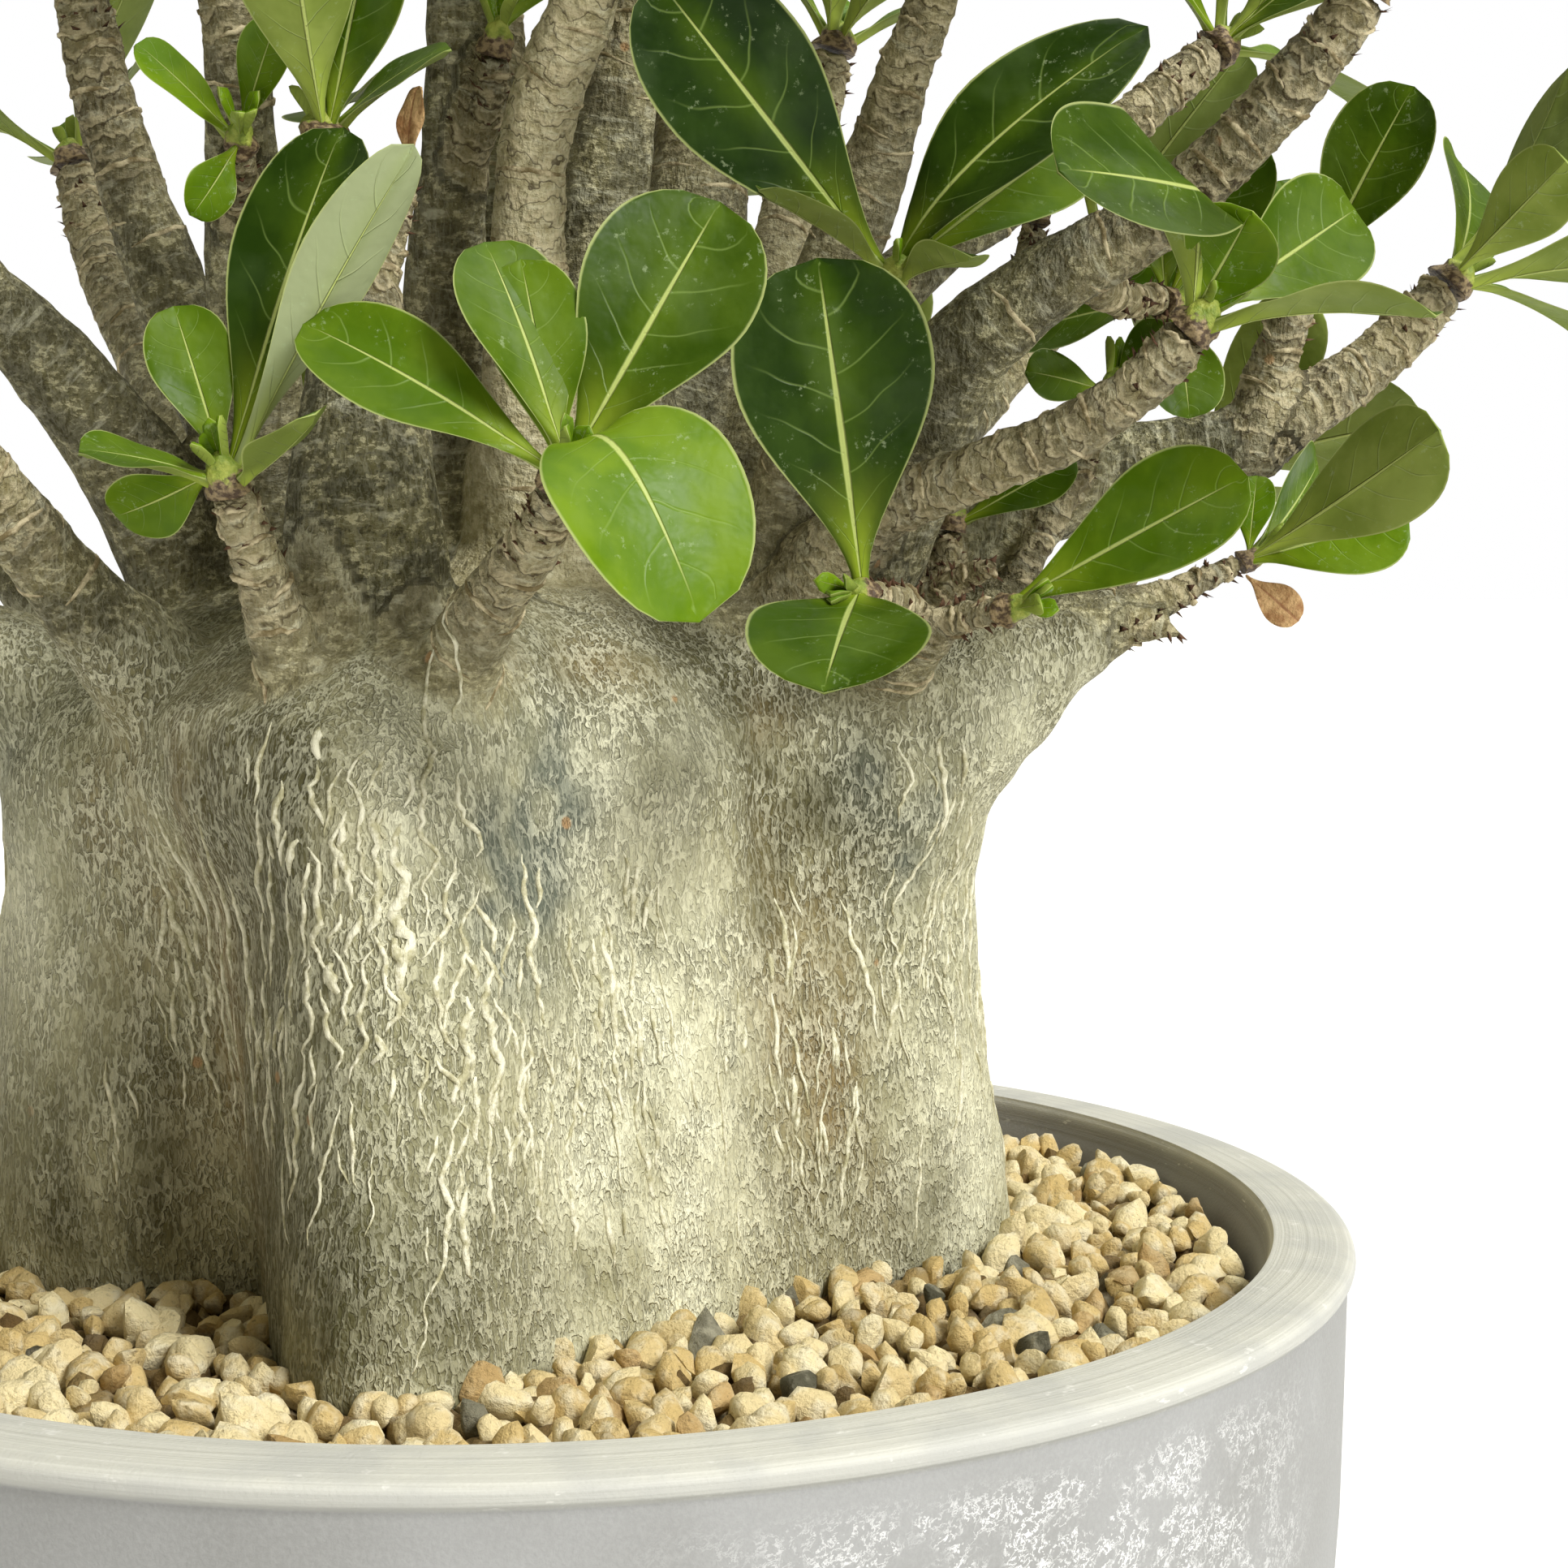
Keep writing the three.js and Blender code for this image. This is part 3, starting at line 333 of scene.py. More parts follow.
# Branches: points of x, y, z and radius from inside what carries them to the tip
BRANCHES = {
    "core": [[8, 2, 172, 40], [10, 3, 192, 31], [15, 4, 212, 17], [17, 5, 230, 11]],
    "a1": [[-17, -40, 176, 18], [-16, -48, 198, 13.5], [-16, -50, 214, 11.6], [-16, -48, 231, 8.6],
           [-18, -44, 246, 5.6], [-22, -41, 262, 4.2]],
    "a1_stub": [[-16, -46, 240, 4.5], [-12, -44, 250, 3], [-9.5, -43, 257, 2]],
    "a2": [[-24, -56, 182, 7], [-26, -63, 192, 5.2], [-28, -68, 202, 4.1], [-30.5, -74, 212, 3.3]],
    "a3": [[-5, -54, 180, 9], [0, -63, 190, 6.2], [6.3, -72, 199, 4.7], [12.6, -80, 207, 3.8],
           [15.2, -85, 212.5, 3.3]],
    "a4": [[4, -10, 200, 11], [5.5, -20, 235, 7.4], [5.7, -22, 250, 6.2], [8, -26, 268, 6],
           [14.7, -32, 283, 5.3], [21, -37, 296, 4.7], [27, -42, 309, 4.2]],
    "a5": [[-8, -3, 195, 11], [-9.4, -5, 238, 7.2], [-7, -8, 264, 6.2], [-5.7, -10, 288, 5.6],
           [-7, -13, 314, 4.6]],
    "a5_spur": [[-6, -8, 262, 3.6], [-1, -14, 272, 3.1], [0.5, -17, 279, 2.9]],
    "a6": [[-30, -8, 192, 11], [-36, -18, 225, 7.6], [-37, -25, 258, 5.8], [-37, -31, 282, 5.1],
           [-42, -36, 302, 4.4]],
    "a6_spur": [[-36, -24, 252, 3.2], [-36, -33, 258, 2.8], [-35, -38, 262, 2.6]],
    "a7": [[17, 5, 222, 12], [15.5, 5, 256, 8.6], [21, 5, 288, 6.4], [30, 3, 314, 4.8]],
    "a8": [[46, 2, 184, 15], [60, -5, 208, 10.4], [71, -12, 231, 8.2], [85.6, -18, 244.5, 6.5],
           [101, -24, 253, 5.9], [114, -30, 265, 5.2], [126, -36, 279, 4.8], [130, -38, 285, 4.5]],
    "a8_spur": [[84, -15, 244, 3.4], [84, -9, 250, 2.8], [84.5, -8, 254, 2.6]],
    "a8_low": [[90, -18, 247, 4], [98, -4, 243, 3.2], [106, 4, 243, 2.8]],
    "a9": [[44, -10, 190, 8.5], [57, -20, 207, 6], [71.4, -28, 214, 4.9], [88, -36, 221, 4.6],
           [99, -42, 229, 4.2], [104, -45, 235, 3.8]],
    "a10": [[46, 26, 205, 10], [60, 31, 243, 6.2], [84, 39, 262, 5.1], [104, 45, 276, 4.7],
            [121, 52, 290, 4]],
    "a10_up": [[38, 12, 205, 11], [50, 16, 240, 7.4], [59, 15, 263, 6], [64, 10, 279, 4.8], [70, 5, 293, 4.2],
               [76, 2, 305, 3.8]],
    "a11": [[56, 14, 184, 14], [77, 20, 207, 9.8], [105, 25, 216, 8.2], [127, 25, 221, 7.2]],
    "a11_up": [[124, 25, 218, 6.6], [127.6, 22, 234, 4.8], [130.5, 19, 243, 3.8], [132, 18, 247, 3.5]],
    "a11_out": [[122, 25, 219, 6.8], [146, 28, 235, 5.2], [158, 30, 247, 4.2]],
    "a12": [[60, -3, 168, 20], [76, -5, 180, 13.4], [89, -5, 188, 8.4], [102, -2, 193, 4.9],
            [112, 0, 197.5, 2.6], [119, 1.5, 200.5, 2]],
    "a12_stub": [[97, -3, 190.5, 4], [104, -5, 190, 2.6], [109.5, -6, 189.3, 1.3]],
    "a13": [[58, -20, 182, 6], [64, -36, 194, 3.2], [57, -48, 197, 2.6]],
    "a13_right": [[62, -22, 184, 5.5], [70, -35, 192.5, 3.1], [77, -42, 194.4, 2.7]],
    "a13_stub": [[60, -14, 188, 5], [71, -24, 198, 2.7], [77.5, -29, 201, 1.9]],
    "a14": [[40, -4, 198, 8], [50, -15, 226, 4.6], [57, -26, 238, 3.6], [60.5, -32, 243, 3.1]],
    "a15": [[72, 6, 184, 5], [83, 10, 197, 2.9], [93, 12, 214, 2.6], [98, 12, 227, 2.4]],
    "a16": [[66, 4, 184, 4.5], [71, 6, 197, 2.8], [72.5, 6, 205.5, 2.5]],
    "b1": [[-56, -4, 170, 19], [-76, -9, 181, 12.5], [-93, -15, 192, 8], [-110, -22, 207, 6],
           [-124, -28, 224, 4.7]],
    "b2": [[-42, 2, 182, 15], [-56, -4, 210, 10], [-70, -12, 232, 7.2], [-86, -20, 250, 5.8],
           [-98, -27, 268, 4.8], [-104, -30, 282, 4.4]],
    "b3": [[-38, 30, 180, 15], [-52, 43, 208, 9], [-67, 57, 232, 6.8], [-80, 68, 254, 5.2],
           [-86, 74, 272, 4.4]],
    "b4": [[0, 44, 180, 16], [4, 60, 208, 9], [6, 77, 234, 6.8], [10, 92, 256, 5.2], [12, 99, 272, 4.4]],
    "b5": [[38, 36, 180, 15], [56, 50, 206, 9], [76, 64, 226, 6.8], [94, 77, 244, 5.2], [104, 84, 260, 4.4]],
    "b6": [[-8, 20, 195, 14], [-7, 27, 234, 8.6], [-5.5, 32, 268, 6.8], [-5, 37, 296, 5.4],
           [-8, 41, 314, 4.5]],
    "b7": [[-46, -28, 178, 12], [-60, -44, 198, 7], [-72, -57, 218, 5.2], [-79, -65, 236, 4.3]],
    "b8": [[-28, 2, 195, 12], [-52, 6, 238, 7], [-64, 5, 272, 5.4], [-69, 4, 298, 4.5]],
    "b9": [[30, 40, 200, 9], [42, 60, 250, 5.6], [50, 66, 276, 4.8], [54, 68, 292, 4.2]],
    "b10": [[-60, 20, 178, 12], [-84, 28, 198, 7.2], [-104, 36, 220, 5.2], [-114, 40, 240, 4.3]],
    "b11": [[14, 48, 172, 12], [34, 84, 198, 6.2], [46, 104, 222, 4.3]],
    "b12": [[-20, 48, 172, 12], [-36, 84, 196, 6.2], [-44, 104, 220, 4.3]],
    "b13": [[54, 20, 172, 13], [94, 42, 192, 6.6], [118, 56, 214, 4.3]],
    "b14": [[24, 14, 196, 14], [28, 24, 230, 11], [30, 30, 262, 9], [29, 35, 284, 7], [26, 38, 302, 5]],
}

# Side twigs: branch, share of its length, heading and rise in degrees, length. They lift and
# thin towards their tips.
TWIG_LIFT = 5
TWIG_TIP = 3.8
TWIGS = [
    ["b1", 0.62, -100, 40, 32],
    ["b2", 0.58, 170, 35, 32],
    ["b4", 0.55, 40, 45, 32],
    ["b6", 0.62, 120, 50, 32],
]

# Rosettes in the order that the part makes them: branch, chosen leaves as tip offset, face,
# width, bend, lean and fold (how far out, slant and turn), and how many more the spiral rule adds
ROSETTES = [
    ["a1", [[8, -5, 31, -0.2, -0.95, 0.2, 16, 12], [20, -2, 8, -0.1, -0.5, 0.9, 11, 20]], 2],
    ["a2", [[13, -13, 9, -0.3, -0.1, 0.95, 13, -15], [-17, -8, 4, 0.1, -0.3, 0.95, 14, 15],
            [15, 6, 47, -0.4, -0.9, 0.1, 19, 14], [26, -7, 43, -0.65, 0.72, 0.1, 12, 10],
            [-7, 3, 22, 0.25, -0.9, 0.2, 12, 10], [-9, 9, -14, 0.4, -0.8, 0.3, 11, 25]], 0],
    ["a3", [[-34, 5, 20, -0.2, -0.7, 0.68, 16, 22], [-5.5, 5, 28, 0.15, -0.95, 0.2, 14, 8],
            [20, 11, 36, 0.05, -0.93, 0.3, 24, 8], [17.5, -16, -18.5, 0.1, -0.6, 0.8, 28, 150, 0.06]], 1],
    ["a4", [], 5],
    ["a5", [], 5],
    ["a5_spur", [[2, -4, 24, 0.1, -0.95, 0.2, 13, 10]], 1],
    ["a6", [], 5],
    ["a6_spur", [[-13, -6, 13, 0.4, -0.65, 0.65, 10, 12], [-6, -5, -11, 0.7, -0.6, 0.2, 8, 20],
                 [6, -3, 16, -0.2, -0.9, 0.3, 9, 10]], 0],
    ["a7", [], 5],
    ["a8", [[-3, -12, 20, 0, -0.8, 0.6, 14, 20]], 4],
    ["a8_spur", [[-1, 0, 20, 0, -0.97, 0.2, 15, 6], [12, 4, 12, -0.5, -0.8, 0.3, 11, 12]], 0],
    ["a8_low", [[-17, 6, 22, 0.2, -0.9, 0.3, 15, 12], [13, -6, 24, -0.2, -0.95, 0.2, 14, 10],
                [-30, 4, 2, 0.1, -0.8, 0.6, 13, 20], [2, -5, -18, 0.1, -0.9, 0.3, 13, 15]], 0],
    ["a9", [[8, -5, 15, -0.2, -0.95, 0.25, 15, -20],
            [3, -4, 47, 0.1, 1, 0.1, 27, 12, 0.5, (8.5, -36, 115)]], 2],
    ["a10", [[-15, -8, 14, 0.3, -0.6, 0.7, 12, 15], [22, -8, 16, -0.4, -0.7, 0.6, 13, 15]], 3],
    ["a10_up", [], 5],
    ["a11_up", [[14, -8, 30, -0.4, -0.85, 0.3, 18, 12], [-5, -4, 14, 0.3, -0.9, 0.2, 9, 10],
                [-14, 3, -14, 0, -0.9, 0.35, 12, 25], [-27, 6, -12, 0.1, -0.85, 0.4, 14, 20]], 1],
    ["a11_out", [], 5],
    ["a12", [[25, -4, 7, -0.15, -0.88, 0.45, 17, 12], [2, 5, 13, -0.2, -0.9, 0.1, 7, 8]], 2],
    ["a13", [[-6.5, -4, 47, 0.03, -0.97, 0.2, 29, 12], [-5.5, -26, -12, 0, -0.42, 0.9, 26, 30, 0.3]], 0],
    ["a13_right", [[33.5, -8, 19, -0.3, -0.82, 0.48, 20, 6]], 0],
    ["a14", [[-34, -9, 42, -0.35, -0.85, 0.4, 24, 10], [36, -8, 35, -0.55, -0.75, 0.35, 21, 50, 0.25],
             [-19, -12, 11, 0.3, 0.12, 0.95, 14, 12], [10, -15, 2, 0.2, 0.1, 0.97, 11, 15]], 1],
    ["a15", [[-12, -2, 8, 0.2, -0.8, 0.5, 10, 15], [9, -3, 10, -0.2, -0.8, 0.5, 10, 15]], 1],
    ["a16", [[19, -2, 10.5, -0.25, -0.8, 0.5, 11, 12]], 0],
    *[[f"b{i}", [], 4] for i in range(1, 15)],
    *[[f"twig{i + 1}", [], 4] for i in range(len(TWIGS))],
]

# How old the chosen leaves look, from 0 for a young bright one to 1 for an old dark one
AGES = {
    "a1": [0.7, 0.6], "a2": [0.6, 0.5, 0.95, 1, 0.5, 0.4], "a3": [0.42, 0.45, 0.78, 0.12], "a5_spur": [0.3],
    "a6_spur": [0.1, 0.3, 0.3], "a8_spur": [0.6, 0.7], "a8_low": [0.6, 0.7, 0.5, 0.6], "a9": [0.15, 0.8],
    "a12": [0.2, 0.3], "a13": [0.96, 0.7], "a13_right": [0.4], "a14": [1, 0.95, 0.6, 0.6],
}

DRY_LEAVES = [
    ["dry_leaf_left", [-9.3, -43.5, 258.1], [1.5, -1, 12.4], [-0.6, -0.8, 0.1], 5.5, 30],
    ["dry_leaf_right", [120.3, 0.4, 198.4], [7.7, -3.9, -7], [-0.3, -0.9, 0.3], 6.4, 45],
]

# Ways a leaf may settle clear of its neighbours: swing and tip in degrees, share of its length
SETTLE = [
    [0, 0, 1], [12, 0, 1], [-12, 0, 1], [0, 12, 1], [0, -12, 1], [24, 0, 1], [-24, 0, 1], [0, 24, 0.95],
    [0, -24, 0.95], [16, 16, 0.9], [-16, 16, 0.9], [16, -16, 0.9], [-16, -16, 0.9], [0, 0, 0.8],
    [36, 0, 0.85], [-36, 0, 0.85], [0, 36, 0.8], [0, -36, 0.8], [30, 30, 0.75], [-30, 30, 0.75], [0, 0, 0.6],
]


def random_from(seed):
    """The part's own seeded numbers from 0 to 1."""
    state = seed & 0xFFFFFFFF

    def times(a, b):
        return (a * b) & 0xFFFFFFFF

    def draw():
        nonlocal state
        state = (state + 0x6D2B79F5) & 0xFFFFFFFF
        t = state
        t = times(t ^ (t >> 15), t | 1)
        t ^= (t + times(t ^ (t >> 7), t | 61)) & 0xFFFFFFFF
        return ((t ^ (t >> 14)) & 0xFFFFFFFF) / 4294967296

    return draw


def clamp(value, low=0, high=1):
    """A value kept between two others."""
    return min(max(value, low), high)


# Curves

def curve_point(points, t):
    """A point on the smooth curve through points."""
    last = len(points) - 1
    p = last * t
    k = int(math.floor(p))
    w = p - k
    if w == 0 and k == last:
        k, w = last - 1, 1
    p1, p2 = points[k], points[k + 1]
    p0 = points[k - 1] if k > 0 else p1 + (p1 - p2)
    p3 = points[k + 2] if k + 2 <= last else p2 + (p2 - p1)
    t0 = (p2 - p0) * 0.5
    t1 = (p3 - p1) * 0.5
    return p1 + t0 * w + (p2 * 3 - p1 * 3 - t0 * 2 - t1) * w**2 + (p1 * 2 - p2 * 2 + t0 + t1) * w**3


def samples(rows, count):
    """Places, directions and radii along a branch."""
    points = [Vector(row[:3]) for row in rows]
    last = len(points) - 1
    step = 0.0001
    run = []
    for i in range(count + 1):
        t = i / count
        k = min(int(t * last), last - 1)
        share = t * last - k
        way = curve_point(points, min(t + step, 1)) - curve_point(points, max(t - step, 0))
        radius = rows[k][3] + share * (rows[k + 1][3] - rows[k][3])
        run.append((curve_point(points, t), way.normalized(), radius))
    return run


def run_length(run):
    """The length of a run of samples in mm."""
    return sum((run[i + 1][0] - run[i][0]).length for i in range(len(run) - 1))


def heading_to(heading, rise):
    """A direction from its heading and rise in degrees."""
    a, e = math.radians(heading), math.radians(rise)
    return Vector((math.cos(a) * math.cos(e), math.sin(a) * math.cos(e), math.sin(e)))


def twig_rows(carrier, share, heading, rise, length):
    """Points of a side twig, from its branch outwards."""
    at, _, radius = samples(BRANCHES[carrier], 20)[round(share * 20)]
    start = radius * 0.8
    rows = []
    for t in (0, 0.5, 1):
        p = at + heading_to(heading, rise) * (length * t)
        rows.append([p.x, p.y, p.z + TWIG_LIFT * t * t, start + (TWIG_TIP - start) * math.sqrt(t)])
    return rows


LIMBS = dict(BRANCHES)
for number, twig in enumerate(TWIGS):
    LIMBS[f"twig{number + 1}"] = twig_rows(*twig)


def turn_from(angle, degrees):
    """The turn in degrees from one direction to another, between -180 and 180."""
    return (degrees - angle + 180) % 360 - 180


def caudex_radius(degrees, z):
    """How far the caudex reaches in a direction at a height."""
    core = float(np.interp(z, *zip(*CORE)))
    reach = core
    for angle, width, *steps in LOBES:
        out = float(np.interp(z, LOBE_HEIGHTS, steps))
        reach += out * min(core / CORE_AT_SOIL, 1) * math.exp(-((turn_from(angle, degrees) / width) ** 2))
    for angle, height, width, tall, out in SWELLS:
        reach += out * math.exp(-((turn_from(angle, degrees) / width) ** 2) - ((z - height) / tall) ** 2)
    return reach


# Building meshes

def linked(name, data):
    """A new object in the scene."""
    obj = bpy.data.objects.new(name, data)
    bpy.context.scene.collection.objects.link(obj)
    return obj


def shade_smooth(mesh):
    mesh.polygons.foreach_set("use_smooth", [True] * len(mesh.polygons))


def mesh_object(name, points, faces):
    """A smooth object from points in mm."""
    mesh = bpy.data.meshes.new(name)
    mesh.from_pydata((np.asarray(points, dtype=float) * MM).tolist(), [], faces)
    mesh.validate()
    shade_smooth(mesh)
    return linked(name, mesh)


def set_attribute(obj, name, values):
    """One number for each point of a mesh."""
    layer = obj.data.attributes.new(name, "FLOAT", "POINT")
    layer.data.foreach_set("value", np.asarray(values, dtype=np.float32))


def read_vectors(items, field):
    """Three numbers for each of a mesh's items."""
    numbers = np.empty(len(items) * 3)
    items.foreach_get(field, numbers)
    return numbers.reshape(-1, 3)


class Pile:
    """Points, faces and numbers at the points, gathered for one piece."""

    def __init__(self, *names):
        self.points = []
        self.faces = []
        self.numbers = {name: [] for name in names}

    def add(self, points, faces, **numbers):
        shift = len(self.points)
        self.points.extend(list(point) for point in points)
        self.faces.extend(tuple(v + shift for v in face) for face in faces)
        for name, more in numbers.items():
            self.numbers[name].extend(more)

    def make(self, name):
        obj = mesh_object(name, self.points, self.faces)
        for key, numbers in self.numbers.items():
            set_attribute(obj, key, numbers)
        return obj


def ring_faces(rings, sides):
    """Quads between rings of points that follow each other."""
    faces = []
    for k in range(rings - 1):
        here = k * sides
        for i in range(sides):
            j = (i + 1) % sides
            faces.append((here + i, here + j, here + sides + j, here + sides + i))
    return faces


def closed_body(rings, start, end):
    """Points and faces of a body from its rings of points and the middles of its two ends."""
    sides = len(rings[0])
    points = [point for ring in rings for point in ring]
    faces = ring_faces(len(rings), sides)
    top = len(points) - sides
    for i in range(sides):
        j = (i + 1) % sides
        faces.append((len(points), j, i))
        faces.append((len(points) + 1, top + i, top + j))
    return points + [start, end], faces


def circle_angles(sides):
    return [2 * math.pi * i / sides for i in range(sides)]


def heading_at(path, s):
    """Which way a path of places runs at one of them."""
    return (path[min(s + 1, len(path) - 1)][0] - path[max(s - 1, 0)][0]).normalized()


def ribbon_faces(sections):
    """Faces of a closed ribbon whose sections have four points each."""
    faces = []
    end = (sections - 1) * 4
    for here in range(0, end, 4):
        for i in range(4):
            j = (i + 1) % 4
            faces.append((here + i, here + 4 + i, here + 4 + j, here + j))
    return faces + [(0, 1, 2, 3), (end + 3, end + 2, end + 1, end)]


def finish_piece(obj, material, slot, *nodes):
    """Material, body and the solids that the piece stands for. The slot is not used."""
    for m in material if isinstance(material, list) else [material]:
        obj.data.materials.append(m)
    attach(obj, "root")
    if nodes:
        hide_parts(*nodes)


def applied(obj):
    """Takes the object's modifiers into its mesh."""
    graph = bpy.context.evaluated_depsgraph_get()
    mesh = bpy.data.meshes.new_from_object(obj.evaluated_get(graph))
    old = obj.data
    obj.modifiers.clear()
    obj.data = mesh
    bpy.data.meshes.remove(old)
    return obj


# Materials

class Value:
    """A number that nodes work out. Arithmetic on it adds a node."""

    def __init__(self, nodes, socket):
        self.nodes = nodes
        self.socket = socket

    def __add__(self, other):
        return self.nodes.math("ADD", self, other)

    def __sub__(self, other):
        return self.nodes.math("SUBTRACT", self, other)

    def __rsub__(self, other):
        return self.nodes.math("SUBTRACT", other, self)

    def __mul__(self, other):
        return self.nodes.math("MULTIPLY", self, other)

    def __truediv__(self, other):
        return self.nodes.math("DIVIDE", self, other)

    __radd__ = __add__
    __rmul__ = __mul__


class Nodes:
    """A short way to write node materials."""

    def __init__(self, name):
        self.material = bpy.data.materials.new(name)
        self.material.use_nodes = True
        self.tree = self.material.node_tree
        self.tree.nodes.clear()
        out = self.add("ShaderNodeOutputMaterial")
        self.shader = self.add("ShaderNodeBsdfPrincipled")
        self.tree.links.new(self.shader.outputs[0], out.inputs["Surface"])

    def add(self, kind, **settings):
        node = self.tree.nodes.new(kind)
        for key, value in settings.items():
            setattr(node, key, value)
        return node

    def fill(self, node, **values):
        """Links or values for a node's inputs, which are named with _ for a space."""
        for name, value in values.items():
            self.put(node.inputs[name.replace("_", " ")], value)

    def put(self, socket, value):
        if isinstance(value, Value):
            value = value.socket
        if isinstance(value, bpy.types.NodeSocket):
            self.tree.links.new(value, socket)
        else:
            socket.default_value = value

    def place(self, scale=(1, 1, 1)):
        """Object coordinates in mm, stretched."""
        coords = self.add("ShaderNodeTexCoord")
        mapping = self.add("ShaderNodeMapping")
        self.fill(mapping, Vector=coords.outputs["Object"], Scale=tuple(s / MM for s in scale))
        return mapping.outputs["Vector"]

    def noise(self, vector, scale, detail=4, roughness=0.55):
        node = self.add("ShaderNodeTexNoise")
        self.fill(node, Vector=vector, Scale=scale, Detail=detail, Roughness=roughness)
        return Value(self, node.outputs["Fac"])

    def cells(self, scale):
        """Distance and colour of even cells."""
        node = self.add("ShaderNodeTexVoronoi")
        self.fill(node, Vector=self.place(), Scale=scale)
        return Value(self, node.outputs["Distance"]), node.outputs["Color"]

    def axes(self, vector):
        """A vector's three values."""
        node = self.add("ShaderNodeSeparateXYZ")
        self.put(node.inputs[0], vector)
        return [Value(self, socket) for socket in node.outputs]

    def stack(self, x, y, z):
        """Three values as one vector."""
        node = self.add("ShaderNodeCombineXYZ")
        self.fill(node, X=x, Y=y, Z=z)
        return node.outputs[0]

    def length(self, vector):
        node = self.add("ShaderNodeVectorMath", operation="LENGTH")
        self.put(node.inputs[0], vector)
        return Value(self, node.outputs["Value"])

    def warped(self, vector, scale, amount):
        """A vector pushed about by noise, amount in the vector's own units."""
        shift = self.add("ShaderNodeTexNoise")
        self.fill(shift, Vector=self.place(), Scale=scale, Detail=2)
        centred = self.add("ShaderNodeVectorMath", operation="SUBTRACT")
        self.put(centred.inputs[0], shift.outputs["Color"])
        self.put(centred.inputs[1], (0.5, 0.5, 0.5))
        moved = self.add("ShaderNodeVectorMath", operation="MULTIPLY_ADD")
        self.put(moved.inputs[0], centred.outputs[0])
        self.put(moved.inputs[1], (amount * 2, amount * 2, amount * 2))
        self.put(moved.inputs[2], vector)
        return moved.outputs[0]

    def math(self, operation, a, b=0.0):
        node = self.add("ShaderNodeMath", operation=operation)
        self.put(node.inputs[0], a)
        self.put(node.inputs[1], b)
        return Value(self, node.outputs[0])

    def size(self, value):
        """A value without its sign."""
        return self.math("ABSOLUTE", value)

    def span(self, value, low, high, to_low=0.0, to_high=1.0):
        """A smooth step of value from low to high."""
        node = self.add("ShaderNodeMapRange", interpolation_type="SMOOTHSTEP")
        self.fill(node, Value=value, From_Min=low, From_Max=high, To_Min=to_low, To_Max=to_high)
        return Value(self, node.outputs["Result"])

    def mix(self, factor, a, b, blend="MIX"):
        node = self.add("ShaderNodeMix", data_type="RGBA", blend_type=blend)
        for name, color in (("A", a), ("B", b)):
            self.put(node.inputs[name], (*color, 1) if isinstance(color, tuple) else color)
        self.put(node.inputs["Factor"], factor)
        return node.outputs["Result"]

    def shade(self, value, low, high, a, b):
        """One colour where value is low, another where it is high."""
        return self.mix(self.span(value, low, high), a, b)

    def paint(self, color, *coats):
        """Coats of colour over each other, each with how much of it shows."""
        for factor, coat in coats:
            color = self.mix(factor, color, coat)
        return color

    def attribute(self, name):
        return Value(self, self.add("ShaderNodeAttribute", attribute_name=name).outputs["Fac"])

    def bump(self, height, distance):
        """A normal from a height, with the distance in mm."""
        node = self.add("ShaderNodeBump")
        self.fill(node, Strength=1.0, Distance=distance * MM, Height=height)
        return node.outputs["Normal"]

    def finish(self, color, roughness, normal=None, specular=0.5):
        self.fill(self.shader, Base_Color=color, Roughness=roughness, Specular_IOR_Level=specular)
        if normal is not None:
            self.put(self.shader.inputs["Normal"], normal)
        return self.material


def limb_tones(n, even, flecks, young):
    """The wood of the limbs: old and flecked, brown on twigs, buff where the photograph shows it."""
    spots = n.noise(even, 0.085, 3, 0.65)
    old = n.paint(
        n.shade(spots, 0.4, 0.62, *OLD_WOOD),
        (n.span(flecks, 0.53, 0.60) * n.span(spots, 0.40, 0.56, 0.25, 0.85), LICHEN),
        (n.span(flecks, 0.45, 0.36, 0, 0.75), WOOD_PITS),
    )
    twig = n.shade(spots, 0.4, 0.62, *TWIG_WOOD)
    twig = n.mix(n.span(flecks, 0.54, 0.62, 0, 0.6), twig, TWIG_FLECKS)
    buff = n.math("POWER", n.attribute("pale"), 1.6) * 0.9
    return n.paint(old, (n.span(young, 0.55, 0.95), twig), (buff, n.shade(flecks, 0.38, 0.62, *BUFF_WOOD)))


